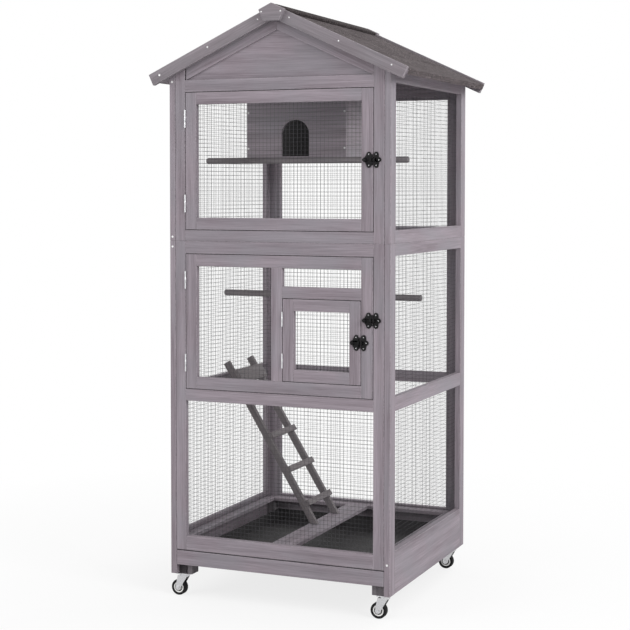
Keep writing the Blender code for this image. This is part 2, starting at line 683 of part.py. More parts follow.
def build_lower_doors():
    """Lower door, whose lower right bay holds the small door."""
    left = BAY_LEFT + DOOR_GAP + DOOR_STILE
    right = BAY_RIGHT - DOOR_GAP - DOOR_STILE
    low = MID_TOP + DOOR_GAP + DOOR_RAIL
    high = HEAD_BOTTOM - DOOR_GAP - DOOR_RAIL
    bay_left = right - SMALL_BAY_W
    bay_top = low + SMALL_BAY_H
    net_right = bay_left - MULLION_W
    strip_low = bay_top + TRANSOM_H
    holes = [(left, net_right, low, high), (bay_left, right, low, bay_top),
             (bay_left, right, strip_low, high)]
    hinge = build_door("lower", BAY_LEFT, BAY_RIGHT, MID_TOP, HEAD_BOTTOM, DOOR_STILE, DOOR_RAIL,
                       (HINGE_H, HINGE_INSET), holes)
    turn = net_right + NET_LAP
    outline = [(left - NET_LAP, low - NET_LAP), (turn, low - NET_LAP), (turn, strip_low - NET_LAP),
               (right + NET_LAP, strip_low - NET_LAP), (right + NET_LAP, high + NET_LAP),
               (left - NET_LAP, high + NET_LAP)]
    gaps = net_holes(left - NET_LAP, turn, low - NET_LAP, high + NET_LAP, DOOR_NET_PITCH)
    gaps += net_holes(turn - WIRE, right + NET_LAP, strip_low - NET_LAP, high + NET_LAP,
                      DOOR_NET_PITCH)
    net = plate("Y", INNER_FRONT + SEAM, INNER_FRONT + SEAM + WIRE, outline, gaps)
    add_part("lower_door_net", net, WIRE_METAL, hinge)
    build_latch("lower", BAY_RIGHT - DOOR_GAP / 2, MID_TOP + LOWER_LATCH_UP, hinge)
    small = build_door("small", bay_left, right, low, bay_top, SMALL_STILE, SMALL_STILE,
                       (SMALL_HINGE_H, SMALL_HINGE_INSET))
    lap = DOOR_GAP + SMALL_STILE - NET_LAP
    bounds = (bay_left + lap, right - lap, low + lap, bay_top - lap)
    add_net("small_door_net", "Y", INNER_FRONT + SEAM, bounds, DOOR_NET_PITCH, small)
    build_latch("small", right - DOOR_GAP / 2, low + SMALL_LATCH_UP, small)


def build_perches():
    """Round perches from side net to side net, with chamfered ends."""
    reach = NET_X - SEAM
    upper_z = net_wire_place(*side_net_span("upper"), UPPER_PERCH_SHARE) - UPPER_PERCH_DROP
    lower_y = net_wire_place(*side_net_depth(), LOWER_PERCH_SHARE) + LOWER_PERCH_BEHIND
    for word, y_mid, z_mid in (("upper", FRONT + UPPER_PERCH_Y, upper_z),
                               ("lower", lower_y, JOINT_Z - LOWER_PERCH_DOWN)):
        perch = rod("X", -reach, reach, (y_mid, z_mid), PERCH_R, 24)
        add_part(f"perch_{word}", eased("X", perch, PERCH_CHAMFER), DARK_WOOD, (0, y_mid, z_mid),
                 smooth=True)


def build_nest_box():
    """Corner box: a front with an arched doorway, a side, a floor and a thin back panel."""
    wall_x = -NET_X + SEAM
    right = -INNER_X + NEST_W
    front = INNER_BACK - NEST_D
    back = NET_BACK - SEAM
    high = SIDE_TOP - SIDE_TOP_RAIL_H
    low = high - NEST_H
    sill = low + NEST_T
    half = ARCH_W / 2
    arch_x = -INNER_X + ARCH_X
    spring = sill + ARCH_H - half
    doorway = [(arch_x - half, sill), (arch_x + half, sill)]
    doorway += arc((arch_x, spring), half, 0, math.pi, 16)
    board = plate("Y", front, front + NEST_T, rectangle(wall_x, right, low, high), [doorway])
    overlap = NEST_T / 4
    rear = back - NEST_BACK_T / 2
    side = box(right - NEST_T, right - SEAM, front + NEST_T - overlap, rear, low + SEAM, high - SEAM)
    floor = box(wall_x + SEAM, right - overlap, front + NEST_T - overlap, rear - SEAM,
                low + 2 * SEAM, sill - SEAM)
    panel = box(wall_x + 2 * SEAM, right - 2 * SEAM, back - NEST_BACK_T, back,
                low + 3 * SEAM, high - 3 * SEAM)
    add_part("nest_box", union(board, side, floor, panel), WOOD)


def build_ladder():
    """Ladder that leans from the floor beam to the left net, its steps laid on its rails."""
    foot_x = -INNER_X + LADDER_FOOT_X
    foot_z = FLOOR_TOP + SEAM
    top_x = -NET_X + SEAM
    lean, rise = math.cos(LADDER_ANGLE), math.sin(LADDER_ANGLE)
    half = LADDER_RAIL_W / 2
    length = (foot_x - top_x - half * rise) / lean

    def point(along, above):
        """Return x and z from the way up the ladder and the distance above its middle line."""
        return (foot_x - along * lean + above * rise, foot_z + along * rise + above * lean)

    side_view = [(foot_x - half / rise, foot_z), (foot_x + half / rise, foot_z),
                 point(length, half), point(length, -half)]
    front_rail = FRONT + LADDER_FRONT_Y
    rail_half = LADDER_RAIL_T / 2
    back_rail = front_rail + LADDER_W
    ladder = plate("Y", front_rail - rail_half, front_rail + rail_half, side_view)
    steps = [(RUNG_FIRST + i * RUNG_STEP, RUNG_W) for i in range(RUNG_COUNT)]
    steps.append((LADDER_BOARD_AT, LADDER_BOARD_W))
    bedded = half - RUNG_T / 4
    for along, width in steps:
        low, high = along - width / 2, along + width / 2
        outline = [point(low, bedded), point(high, bedded), point(high, half + RUNG_T),
                   point(low, half + RUNG_T)]
        ladder = union(ladder, plate("Y", front_rail - rail_half + SEAM,
                                     back_rail + rail_half - SEAM, outline))
    rail = plate("Y", back_rail - rail_half, back_rail + rail_half, side_view)
    add_part("ladder", union(ladder, rail), DARK_WOOD)


def caster_stems():
    """Return the name, x and y of each caster's swivel axis."""
    x, y = HALF_W - STEM_X, BODY_D / 2 - STEM_Y
    return [("front_left", -x, -y), ("front_right", x, -y), ("back_left", -x, y),
            ("back_right", x, y)]


def build_base():
    """Floor frame with its centre beam, on four legs that carry the runners of the tray."""
    edge_x = INNER_X - SEAM
    y_low, y_high = INNER_FRONT + SEAM, INNER_BACK - SEAM
    bay_x = edge_x - FLOOR_SIDE_LEDGE
    beam = FLOOR_BEAM_W / 2
    bay_y = (y_low + FLOOR_FRONT_LEDGE, y_high - FLOOR_BACK_LEDGE)
    floor = plate("Z", FLOOR_TOP - FLOOR_T, FLOOR_TOP, rectangle(-edge_x, edge_x, y_low, y_high),
                  [rectangle(-bay_x, -beam, *bay_y), rectangle(beam, bay_x, *bay_y)])
    tray_bottom = DRAWER_BOTTOM + TRAY_LIFT
    inset = 2 * SEAM
    for side in (-1, 1):
        for way in (-1, 1):
            leg_y = sorted((way * (y_high - inset), way * (y_high - LEG_D)))
            leg = box(*side_span(side, edge_x - LEG_W, edge_x - inset), *leg_y,
                      CASTER_H, FLOOR_TOP - FLOOR_T / 2)
            foot_y = sorted((way * (y_high - 3 * SEAM), way * (y_high - CASTER_BLOCK)))
            foot = box(*side_span(side, edge_x - CASTER_BLOCK, edge_x - 3 * SEAM), *foot_y,
                       CASTER_H, tray_bottom - SEAM - RUNNER_T / 2)
            floor = union(floor, leg, foot)
        span = side_span(side, edge_x - LEG_W - RUNNER_REACH, edge_x - 4 * SEAM)
        runner = box(*span, -y_high + LEG_D / 2, y_high - LEG_D / 2,
                     tray_bottom - SEAM - RUNNER_T, tray_bottom - SEAM)
        floor = union(floor, runner)
    half = CASTER_PLATE / 2
    for _, x, y in caster_stems():
        pad = box(x - half, x + half, y - half, y + half, CASTER_H - CASTER_PLATE_T,
                  CASTER_H + LEG_DROP / 4)
        floor = union(floor, pad)
    add_part("base_frame", floor, WOOD)


def build_drawer():
    """Drawer front between the side panels and the tray behind it."""
    edge = INNER_X - DRAWER_GAP
    front = box(-edge, edge, FRONT, FRONT + DRAWER_FRONT_T, DRAWER_BOTTOM, DRAWER_BOTTOM + DRAWER_H)
    add_part("drawer_front", eased("Y", front, EDGE_CHAMFER), WOOD, (0, FRONT, DRAWER_BOTTOM))
    reach = INNER_X - SEAM - LEG_W - TRAY_GAP
    y_low, y_high = FRONT + DRAWER_FRONT_T + SEAM, INNER_BACK - TRAY_GAP
    low = DRAWER_BOTTOM + TRAY_LIFT
    shell = box(-reach, reach, y_low, y_high, low, low + TRAY_H)
    hollow = box(-reach + TRAY_T, reach - TRAY_T, y_low + TRAY_T, y_high - TRAY_T,
                 low + TRAY_T, low + 2 * TRAY_H)
    add_part("tray", cut(shell, hollow), TRAY_METAL, (0, y_low, low))


def build_casters():
    """Forks with their axles, and wheels that stand on one flat of their polygon."""
    axle_z = WHEEL_R * math.cos(math.pi / WHEEL_SIDES)
    half = WHEEL_W / 2
    profile = [(AXLE_BORE_R, -half), (HUB_R, -half), (HUB_R, -half + RIM_DISH),
               (RIM_R, -half + RIM_DISH), (RIM_R, -half), (WHEEL_R - WHEEL_SHOULDER, -half),
               (WHEEL_R, -half + WHEEL_SHOULDER), (WHEEL_R, half - WHEEL_SHOULDER),
               (WHEEL_R - WHEEL_SHOULDER, half), (RIM_R, half), (RIM_R, half - RIM_DISH),
               (HUB_R, half - RIM_DISH), (HUB_R, half), (AXLE_BORE_R, half)]
    crown_top = CASTER_H - CASTER_PLATE_T - SEAM - RACE_H
    crown_low = crown_top - 2 * FORK_T
    cheek = half + FORK_GAP
    for word, x, y in caster_stems():
        axle_x = x - CASTER_TRAIL
        wheel = revolve(profile, (axle_x, y, axle_z), WHEEL_SIDES, -math.pi / 2 + math.pi / WHEEL_SIDES)
        add_part(f"wheel_{word}", wheel, RUBBER, (axle_x, y, axle_z), smooth=True)
        blade = [(x + FORK_CROWN_FRONT, crown_top), (x - FORK_CROWN_BACK, crown_top)]
        blade += arc((axle_x, axle_z), FORK_EYE_R, math.pi, 2 * math.pi, 8)
        crown = box(x - FORK_CROWN_BACK + SEAM, x + FORK_CROWN_FRONT - 4 * SEAM,
                    y - cheek - FORK_T / 2, y + cheek + FORK_T / 2, crown_low, crown_top - SEAM)
        race = rod("Z", crown_top - FORK_T, crown_top + RACE_H, (x, y), RACE_R, 16)
        axle = rod("Y", y - cheek - FORK_T - NUT_T / 2, y + cheek + FORK_T + NUT_T / 2,
                   (axle_x, axle_z), AXLE_R, 12)
        parts = [plate("Y", y + cheek, y + cheek + FORK_T, blade), race, axle]
        for way in (-1, 1):
            span = sorted((y + way * (cheek + FORK_T / 2), y + way * (cheek + FORK_T + NUT_T)))
            parts.append(rod("Y", *span, (axle_x, axle_z), NUT_R, 6))
        fork = union(plate("Y", y - cheek - FORK_T, y - cheek, blade), crown, *parts)
        add_part(f"fork_{word}", fork, CHROME, (x, y, CASTER_H), smooth=True)


def main():
    clear_scene()
    build_side_panels()
    build_frames()
    build_roof()
    build_wall_nets()
    build_upper_door()
    build_lower_doors()
    build_perches()
    build_nest_box()
    build_ladder()
    build_base()
    build_drawer()
    build_casters()


main()
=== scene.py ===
"""Looks of a wooden bird cage on casters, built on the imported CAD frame.

Every sub-assembly is a class that models its pieces with Blender's own tools and dresses them
with procedural finishes. Lengths are in metres, in the frame of the CAD model: the floor is at
z = 0, the front faces -Y and the cage stands in the middle.
"""
import logging
import math
import random
from contextlib import contextmanager
from dataclasses import dataclass, field, replace
from enum import Enum
from typing import Any, Iterator, Optional, Sequence

import bpy
from mathutils import Matrix, Vector


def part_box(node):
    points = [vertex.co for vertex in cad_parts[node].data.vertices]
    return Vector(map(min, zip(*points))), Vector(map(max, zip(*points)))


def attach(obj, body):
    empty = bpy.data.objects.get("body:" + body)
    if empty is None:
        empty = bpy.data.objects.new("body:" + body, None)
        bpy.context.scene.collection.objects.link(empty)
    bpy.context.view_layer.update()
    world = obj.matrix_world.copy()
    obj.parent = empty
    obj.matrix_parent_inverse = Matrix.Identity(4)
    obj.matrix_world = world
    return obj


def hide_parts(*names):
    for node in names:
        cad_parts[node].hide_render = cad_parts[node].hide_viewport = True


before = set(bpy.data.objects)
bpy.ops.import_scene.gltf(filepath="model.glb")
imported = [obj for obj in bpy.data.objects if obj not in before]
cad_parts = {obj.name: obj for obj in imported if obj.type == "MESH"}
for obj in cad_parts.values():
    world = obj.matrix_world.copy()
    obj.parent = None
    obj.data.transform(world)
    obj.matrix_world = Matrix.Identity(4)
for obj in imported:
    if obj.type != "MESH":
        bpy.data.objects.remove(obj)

LOG = logging.getLogger("bird_cage")
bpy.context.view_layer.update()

Point = tuple[float, float, float]
Span = tuple[float, float]            # low and high end
Patch = tuple[float, float, float, float]   # low and high place along, low and high z
Plane = tuple[Point, Point]           # a point on a cut, and the side that is cut away
Colour = tuple[int, int, int]         # as seen, 0 to 255
Solid = bpy.types.Object
Node = bpy.types.Node
Socket = bpy.types.NodeSocket

EASE = 0.0012                         # rounded edges of the planed timber
EASED = 1.5                           # widest face of a rounded edge, in eases
TREE = 40.0                           # range of a board's place in its tree
SEAM = 0.0003                         # between pieces that touch
DOOR_GAP = 0.002                      # round a door in its bay
FACING = 0.9                          # least cosine of a face that looks one way
NOISE_MOST = (0.3, 0.7)               # range of most noise
FINE_SIDES = 48                       # round pieces whose outline shows
UP = (0.0, 0.0, 1.0)
DOWN = (0.0, 0.0, -1.0)
SIDES = ((-1, "left"), (1, "right"))
ENDS = ((-1, "front"), (1, "back"))


# Lines of the cage

@dataclass(frozen=True)
class CageLines:
    """Faces, levels and slopes that the sub-assemblies share."""

    side_x: float = 0.368
    inner_x: float = 0.349
    front: float = -0.370
    inner_front: float = -0.351
    back: float = 0.370
    inner_back: float = 0.351
    side_net_end: float = 0.336        # rear edge of the side nets
    side_bottom: float = 0.077
    sill_bottom: float = 0.156
    sill_top: float = 0.201
    mid_bottom: float = 0.630
    mid_top: float = 0.667
    head_bottom: float = 1.093
    joint_z: float = 1.132             # between the storeys
    upper_sill: float = 1.166
    upper_head: float = 1.596
    gable_base: float = 1.633
    side_top: float = 1.654
    floor_top: float = 0.194
    front_post: float = 0.314          # inner edge of the front posts
    back_post: float = 0.310
    pitch: float = math.radians(24.9)
    roof_t: float = 0.016
    barge_lip: float = 0.006           # barge boards above the roof boards

    def slope(self, x: float, drop: float = 0.0) -> float:
        """Height of a line that lies a square drop below the top of the barge boards.

        Args:
            x: Distance from the middle of the cage.
            drop: Square distance below the top of the barge boards.

        Returns:
            The height above the floor.
        """
        rise = (self.side_x - abs(x)) * math.tan(self.pitch)
        above = (self.barge_lip + self.roof_t - drop) / math.cos(self.pitch)
        return self.side_top + SEAM + rise + above

    def under_roof(self, x: float) -> float:
        """Height of the underside of the roof boards, less a seam."""
        return self.slope(x, self.barge_lip + self.roof_t) - SEAM

    def outward(self, side: int) -> Point:
        """Direction square to the roof on one side, away from the cage."""
        return (side * math.sin(self.pitch), 0.0, math.cos(self.pitch))

    def plumb_cut(self, side: int, gap: float = 0.0) -> Plane:
        """Cut at the ridge that keeps what lies past a gap on one side of the middle."""
        return ((side * gap, 0.0, 0.0), (-side, 0.0, 0.0))

    def along_slope(self, side: int, drop: float) -> Matrix:
        """Placement whose x runs down the roof from the ridge and whose z points out of it.

        Args:
            side: -1 for the left slope, 1 for the right.
            drop: Square distance of its origin below the top of the barge boards.

        Returns:
            The matrix from board to cage.
        """
        turn = Matrix.Rotation(self.pitch, 4, "Y")
        if side < 0:
            turn = Matrix.Rotation(math.pi, 4, "Z") @ turn
        return Matrix.Translation((0.0, 0.0, self.slope(0.0, drop))) @ turn


@dataclass(frozen=True)
class Bay:
    """Opening in the front that a door closes."""

    span: Span
    height: Span

    def grown(self, sideways: float, upright: float) -> "Bay":
        """Returns the bay with its edges moved outwards."""
        (left, right), (low, high) = self.span, self.height
        return Bay((left - sideways, right + sideways), (low - upright, high + upright))


LINES = CageLines()
UPPER_BAY = Bay((-LINES.front_post, LINES.front_post), (LINES.upper_sill, LINES.upper_head))
LOWER_BAY = Bay((-LINES.front_post, LINES.front_post), (LINES.mid_top, LINES.head_bottom))
SMALL_BAY = Bay((0.017, 0.275), (0.706, 0.962))        # within the lower door


def spans(way: int, near: float, far: float) -> Span:
    """Returns the low and high end of what lies between two distances, left or front of 0 at -1."""
    low, high = sorted((way * near, way * far))
    return low, high


# Bench tools

def deselect() -> None:
    """Leaves nothing selected and nothing active."""
    bpy.ops.object.select_all(action="DESELECT")
    bpy.context.view_layer.objects.active = None


def pick(*pieces: Solid) -> None:
    """Selects these pieces alone and makes the first one active.

    Args:
        *pieces: The pieces.
    """
    deselect()
    for piece in pieces:
        piece.select_set(True)
    bpy.context.view_layer.objects.active = pieces[0]


@contextmanager
def editing(piece: Solid) -> Iterator[None]:
    """Holds a piece in edit mode with all of it selected.

    Args:
        piece: The mesh to edit.

    Yields:
        Nothing; object mode comes back afterwards.
    """
    pick(piece)
    bpy.ops.object.mode_set(mode="EDIT")
    bpy.ops.mesh.select_all(action="SELECT")
    yield
    bpy.ops.object.mode_set(mode="OBJECT")


def settle(piece: Solid, placement: Optional[Matrix] = None) -> Solid:
    """Puts a piece in its place and moves that place into its mesh.

    Args:
        piece: The piece to settle.
        placement: Matrix from the piece's bench to the cage.

    Returns:
        The same piece, its object at the origin.
    """
    pick(piece)
    if placement is not None:
        bpy.context.view_layer.update()
        piece.matrix_world = placement @ piece.matrix_world
    bpy.ops.object.transform_apply(location=True, rotation=True, scale=True)
    return piece


def joined(name: str, pieces: Sequence[Solid]) -> Solid:
    """Joins meshes into one piece.

    Args:
        name: Name of the joined piece.
        pieces: Meshes to join.

    Returns:
        The joined piece.
    """
    pick(*pieces)
    if len(pieces) > 1:
        bpy.ops.object.join()
    piece = pieces[0]
    piece.name = name
    piece.data.name = name
    return piece


def duplicate(piece: Solid, name: str, shift: Point) -> Solid:
    """Copies a piece with a mesh of its own.

    Args:
        piece: The piece to copy.
        name: Name of the copy.
        shift: How far the copy is moved.

    Returns:
        The settled copy.
    """
    copy = piece.copy()
    copy.data = piece.data.copy()
    copy.name = name
    bpy.context.collection.objects.link(copy)
    return settle(copy, Matrix.Translation(shift))


def finish_modifier(piece: Solid, kind: str, **settings: Any) -> None:
    """Adds a modifier with these settings and applies it.

    Args:
        piece: The mesh that it shapes.
        kind: Blender's name for the kind of modifier.
        **settings: Its properties.
    """
    pick(piece)
    modifier = piece.modifiers.new(kind.title(), kind)
    for key, value in settings.items():
        setattr(modifier, key, value)
    bpy.ops.object.modifier_apply(modifier=modifier.name)


def keep_faces_towards(piece: Solid, direction: Point) -> None:
    """Selects only the faces that look one way; used in edit mode.

    Args:
        piece: The mesh in edit mode.
        direction: The way that they look.
    """
    bpy.ops.mesh.select_all(action="DESELECT")
    bpy.ops.object.mode_set(mode="OBJECT")
    for polygon in piece.data.polygons:
        polygon.select = polygon.normal.dot(Vector(direction)) > FACING
    bpy.ops.object.mode_set(mode="EDIT")
    bpy.ops.mesh.select_mode(type="FACE")


def inset_faces(piece: Solid, direction: Point, *steps: Span) -> None:
    """Insets the faces that look one way, step after step; used in edit mode.

    Args:
        piece: The mesh in edit mode.
        direction: The way that the faces look.
        *steps: Thickness and depth of each inset; a depth above 0 stands out.
    """
    keep_faces_towards(piece, direction)
    for thickness, depth in steps:
        bpy.ops.mesh.inset(thickness=thickness, depth=depth)


def saw(piece: Solid, plane: Plane, fill: bool = True) -> Solid:
    """Cuts a piece along a plane and takes away what lies past it.

    Args:
        piece: The piece to cut.
        plane: A point on the cut, and the side that is cut away.
        fill: Whether the cut is closed.

    Returns:
        The same piece.
    """
    with editing(piece):
        bpy.ops.mesh.bisect(plane_co=plane[0], plane_no=plane[1], use_fill=fill, clear_outer=True)
    return piece


def round_edges(piece: Solid, size: float, segments: int, sharper_than: float = 0.0) -> Solid:
    """Rounds all edges of a piece, or only its sharp ones.

    Args:
        piece: The piece to round.
        size: Width taken off beside each edge.
        segments: Faces across the rounding.
        sharper_than: Least angle of an edge that is rounded, in degrees; 0 rounds them all.

    Returns:
        The same piece.
    """
    with editing(piece):
        bpy.ops.mesh.select_mode(type="EDGE")
        if sharper_than:
            bpy.ops.mesh.select_all(action="DESELECT")
            bpy.ops.mesh.edges_select_sharp(sharpness=math.radians(sharper_than))
        bpy.ops.mesh.bevel(offset=size, segments=segments, affect="EDGES", clamp_overlap=True)
    return piece


def smooth(piece: Solid, degrees: float = 35.0) -> Solid:
    """Shades a piece smooth except over sharp edges.

    Args:
        piece: The piece to shade.
        degrees: Least angle of an edge that stays sharp.

    Returns:
        The same piece.
    """
    pick(piece)
    bpy.ops.object.shade_smooth_by_angle(angle=math.radians(degrees))
    return piece


class Axis(Enum):
    """Axis of the cage, or of a board before it is placed."""

    X = 0
    Y = 1
    Z = 2

    def turned(self) -> Point:
        """Rotation that lays a primitive's own Z along this axis."""
        return ((0.0, math.pi / 2, 0.0), (math.pi / 2, 0.0, 0.0), (0.0, 0.0, 0.0))[self.value]

    def unit(self, way: int = 1) -> Point:
        """Unit vector along this axis, or against it at -1."""
        return tuple(float(way * (i == self.value)) for i in range(3))


def bar(low: Point, high: Point) -> Solid:
    """Adds a square-edged block, as a start for a piece.

    Args:
        low: Its lowest corner.
        high: Its highest corner.

    Returns:
        The block.
    """
    low, high = Vector(low), Vector(high)
    deselect()
    bpy.ops.mesh.primitive_cube_add(size=1.0, location=(low + high) / 2, scale=high - low)
    return settle(bpy.context.object)


def rod(centre: Point, axis: Axis, radius: float, length: float, sides: int = 24) -> Solid:
    """Adds a round rod, as a start for a piece.

    Args:
        centre: Its middle.
        axis: The axis that it lies along.
        radius: Its radius.
        length: Its length.
        sides: Number of faces round it.

    Returns:
        The rod.
    """
    deselect()
    bpy.ops.mesh.primitive_cylinder_add(vertices=sides, radius=radius, depth=length,
                                        location=centre, rotation=axis.turned())
    return settle(bpy.context.object)


@dataclass(frozen=True)
class Board:
    """Planed board with eased edges that knows which way its fibres run."""

    low: Point
    high: Point
    grain: Axis = Axis.Z
    cuts: tuple[Plane, ...] = ()
    placement: Matrix = field(default_factory=lambda: Matrix.Identity(4))
    ease: float = EASE

    def build(self, draw: random.Random, openings: Sequence[Solid] = ()) -> Solid:
        """Models the board: block, saw cuts, openings, eased edges, then its fibre places.

        Args:
            draw: Source of the board's place in its tree.
            openings: Solids that are cut out of it and then removed.

        Returns:
            The board.
        """
        piece = settle(bar(self.low, self.high), self.placement)
        for cut in self.cuts:
            saw(piece, cut)
        for opening in openings:
            finish_modifier(piece, "BOOLEAN", operation="DIFFERENCE", object=opening,
                            solver="EXACT")
            bpy.data.objects.remove(opening)
        round_edges(piece, self.ease, segments=2, sharper_than=15)
        self.mark_fibres(piece, draw)
        return piece

    def mark_fibres(self, piece: Solid, draw: random.Random) -> None:
        """Writes each point's place along and across the fibres, and marks the eased edges.

        Args:
            piece: The board's mesh.
            draw: Source of the board's place in its tree.
        """
        mesh = piece.data
        order = [self.grain.value] + [a for a in range(3) if a != self.grain.value]
        start = [draw.uniform(0.0, TREE) for _ in order]
        back = self.placement.inverted()
        places = []
        for vertex in mesh.vertices:
            local = back @ vertex.co
            places.extend(local[axis] + offset for axis, offset in zip(order, start))
        mesh.attributes.new("timber", "FLOAT_VECTOR", "POINT").data.foreach_set("vector", places)
        edge = []
        for polygon in mesh.polygons:
            sides = [mesh.vertices[a].co - mesh.vertices[b].co for a, b in polygon.edge_keys]
            width = polygon.area / max(side.length for side in sides)
            edge.append(float(width < self.ease * EASED))
        mesh.attributes.new("edge", "FLOAT", "FACE").data.foreach_set("value", edge)


def stiles_and_rails(across: Axis, depth: Span, stiles: Sequence[Span], height: Span,
                     rails: Sequence[Span], ease: float = EASE) -> list[Board]:
    """Lays out a flat frame: its upright stiles, then the rails between the first two.

    Args:
        across: X for a frame in the front or back, Y for one in a side.
        depth: Low and high face of the frame.
        stiles: Low and high edge of each stile across the frame.
        height: Bottom and top of the stiles.
        rails: Bottom and top of each rail.
        ease: Rounding of its edges.

    Returns:
        The boards.
    """
    between = (stiles[0][1], stiles[1][0])
    runs = [(stile, height, Axis.Z) for stile in stiles]
    runs += [(between, rail, across) for rail in rails]
    boards = []
    for along, level, grain in runs:
        corners = [(a, d, z) if across is Axis.X else (d, a, z)
                   for a, d, z in zip(along, depth, level)]
        boards.append(Board(*corners, grain, ease=ease))
    return boards


def surround(bay: Bay, depth: Span, width: float, ease: float = EASE) -> list[Board]:
    """Lays out two stiles and two rails of one width, within the edges of a bay.

    Args:
        bay: Their outer edges.
        depth: Low and high y of their faces.
        width: Width of each.
        ease: Rounding of their edges.

    Returns:
        The boards.
    """
    (left, right), (low, high) = bay.span, bay.height
    return stiles_and_rails(Axis.X, depth, ((left, left + width), (right - width, right)),
                            bay.height, ((low, low + width), (high - width, high)), ease)


# Shader tools

class NodeSheet:
    """Node tree that is filled from left to right."""

    def __init__(self, tree: bpy.types.NodeTree) -> None:
        """Starts on an empty tree."""
        self.tree = tree
        tree.nodes.clear()

    def plug(self, node: Node, inputs: dict) -> None:
        """Sets or links inputs of a node.

        Args:
            node: The node.
            inputs: Values or output sockets, by the input's name or number.
        """
        for key, value in inputs.items():
            if isinstance(value, Socket):
                self.tree.links.new(value, node.inputs[key])
            else:
                node.inputs[key].default_value = value

    def add(self, kind: str, inputs: Optional[dict] = None, **settings: Any) -> Node:
        """Adds a node.

        Args:
            kind: Node type without its "ShaderNode" beginning.
            inputs: Values or output sockets for its inputs, by name or number.
            **settings: Properties of the node.

        Returns:
            The node.
        """
        node = self.tree.nodes.new(kind if kind.startswith("NodeGroup") else "ShaderNode" + kind)
        for key, value in settings.items():
            setattr(node, key, value)
        self.plug(node, inputs or {})
        return node

    def noise(self, place: Any, scale: Any, detail: float, rough: float) -> Socket:
        """Adds a noise texture and returns its value."""
        return self.add("TexNoise", {"Vector": place, "Scale": scale, "Detail": detail,
                                     "Roughness": rough}).outputs["Fac"]

    def math(self, operation: str, first: Any, second: Any) -> Socket:
        """Adds a sum on two values and returns its result."""
        return self.add("Math", {0: first, 1: second}, operation=operation).outputs[0]

    def spread(self, value: Any, given: Span, made: Span = (0.0, 1.0)) -> Socket:
        """Maps a value from one range to another, held within it, and returns it."""
        return self.add("MapRange", {"Value": value, "From Min": given[0], "From Max": given[1],
                                     "To Min": made[0], "To Max": made[1]}).outputs["Result"]

    def blend(self, factor: Any, first: Any, second: Any) -> Socket:
        """Mixes two colours and returns the mixture."""
        return self.add("Mix", {0: factor, 6: first, 7: second}, data_type="RGBA").outputs[2]


def effect(name: str, inputs: dict[str, str], outputs: Sequence[str]) -> tuple[NodeSheet, Any, Any]:
    """Starts a shared effect as a node group.

    Args:
        name: Name of the effect.
        inputs: Kind of socket ("Vector" or "Float") for each input.
        outputs: Names of its varying values.

    Returns:
        The sheet, the outputs of the group's input node, and its output node.
    """
    tree = bpy.data.node_groups.new(name, "ShaderNodeTree")
    for key, kind in inputs.items():
        tree.interface.new_socket(name=key, in_out="INPUT", socket_type="NodeSocket" + kind)
    for key in outputs:
        tree.interface.new_socket(name=key, in_out="OUTPUT", socket_type="NodeSocketFloat")
    sheet = NodeSheet(tree)
    return sheet, sheet.add("NodeGroupInput").outputs, sheet.add("NodeGroupOutput")


def shared(name: str) -> bpy.types.NodeTree:
    """Returns a shared effect, built at its first use."""
    return bpy.data.node_groups.get(name) or EFFECTS[name]()


def timber_figure() -> bpy.types.NodeTree:
    """Builds the grain of planed softwood from places along and across its fibres.

    Returns:
        The effect.
    """
    sheet, given, made = effect("Timber figure", {"Place": "Vector", "Edge": "Float"},
                                ("Tone", "Fibre", "Cloud", "Worn highlight"))
    place = given["Place"]
    waves, sway = 3.0, (0.0, 0.008, 0.008)
    rings, fibres, clouds = (1.6, 46.0, 46.0), (9.0, 420.0, 420.0), (5.0, 9.0, 9.0)
    chips, bared = 140.0, (0.42, 0.6)
    warp = sheet.add("TexNoise", {"Vector": place, "Scale": waves, "Detail": 1.0}).outputs["Color"]
    shift = sheet.add("VectorMath", {0: warp, 1: sway}, operation="MULTIPLY").outputs[0]
    bent = sheet.add("VectorMath", {0: place, 1: shift}, operation="ADD").outputs[0]
    ring, fibre, cloud = [
        sheet.noise(sheet.add("Mapping", {"Vector": bent, "Scale": stretch}).outputs[0], 1.0,
                    detail, rough)
        for stretch, detail, rough in ((rings, 4.0, 0.6), (fibres, 3.0, 0.65), (clouds, 2.0, 0.55))]
    tone = sheet.math("ADD", sheet.math("MULTIPLY", ring, 0.5), sheet.math("MULTIPLY", fibre, 0.5))
    # Eased edges painted lighter in chips: partly wear, partly a painted highlight along the edges.
    worn_highlight = sheet.math("MULTIPLY", given["Edge"],
                      sheet.spread(sheet.noise(place, chips, 3.0, 0.7), bared))
    sheet.plug(made, {"Tone": tone, "Fibre": fibre, "Cloud": cloud, "Worn highlight": worn_highlight})
    return sheet.tree


def speckle() -> bpy.types.NodeTree:
    """Builds fine specks and broad patches for metal, felt, paint, rubber and plastic.

    Returns:
        The effect.
    """
    sheet, given, made = effect("Speckle", {"Place": "Vector", "Grit": "Float", "Patches": "Float"},
                                ("Speck", "Patch"))
    sheet.plug(made, {"Speck": sheet.noise(given["Place"], given["Grit"], 2.0, 0.7),
                      "Patch": sheet.noise(given["Place"], given["Patches"], 3.0, 0.6)})
    return sheet.tree


EFFECTS = {"Timber figure": timber_figure, "Speckle": speckle}


def grey(tone: float) -> tuple[float, float, float, float]:
    """Returns a neutral colour in linear values."""
    return (tone, tone, tone, 1.0)


def linear(level: int) -> float:
    """Undoes the display curve of one level, 0 to 255."""
    part = level / 255
    return part / 12.92 if part <= 0.04045 else ((part + 0.055) / 1.055) ** 2.4


def shade(colour: Colour) -> tuple[float, float, float, float]:
    """Turns a colour as seen into the linear values that shaders take."""
    return (*(linear(level) for level in colour), 1.0)


# Finishes

class FibrePlace(Enum):
    """Where a timber finish finds its place along and across the fibres."""

    BOARD = "written on each board"
    ROUND_BAR = "straight from the bar, which lies along X"


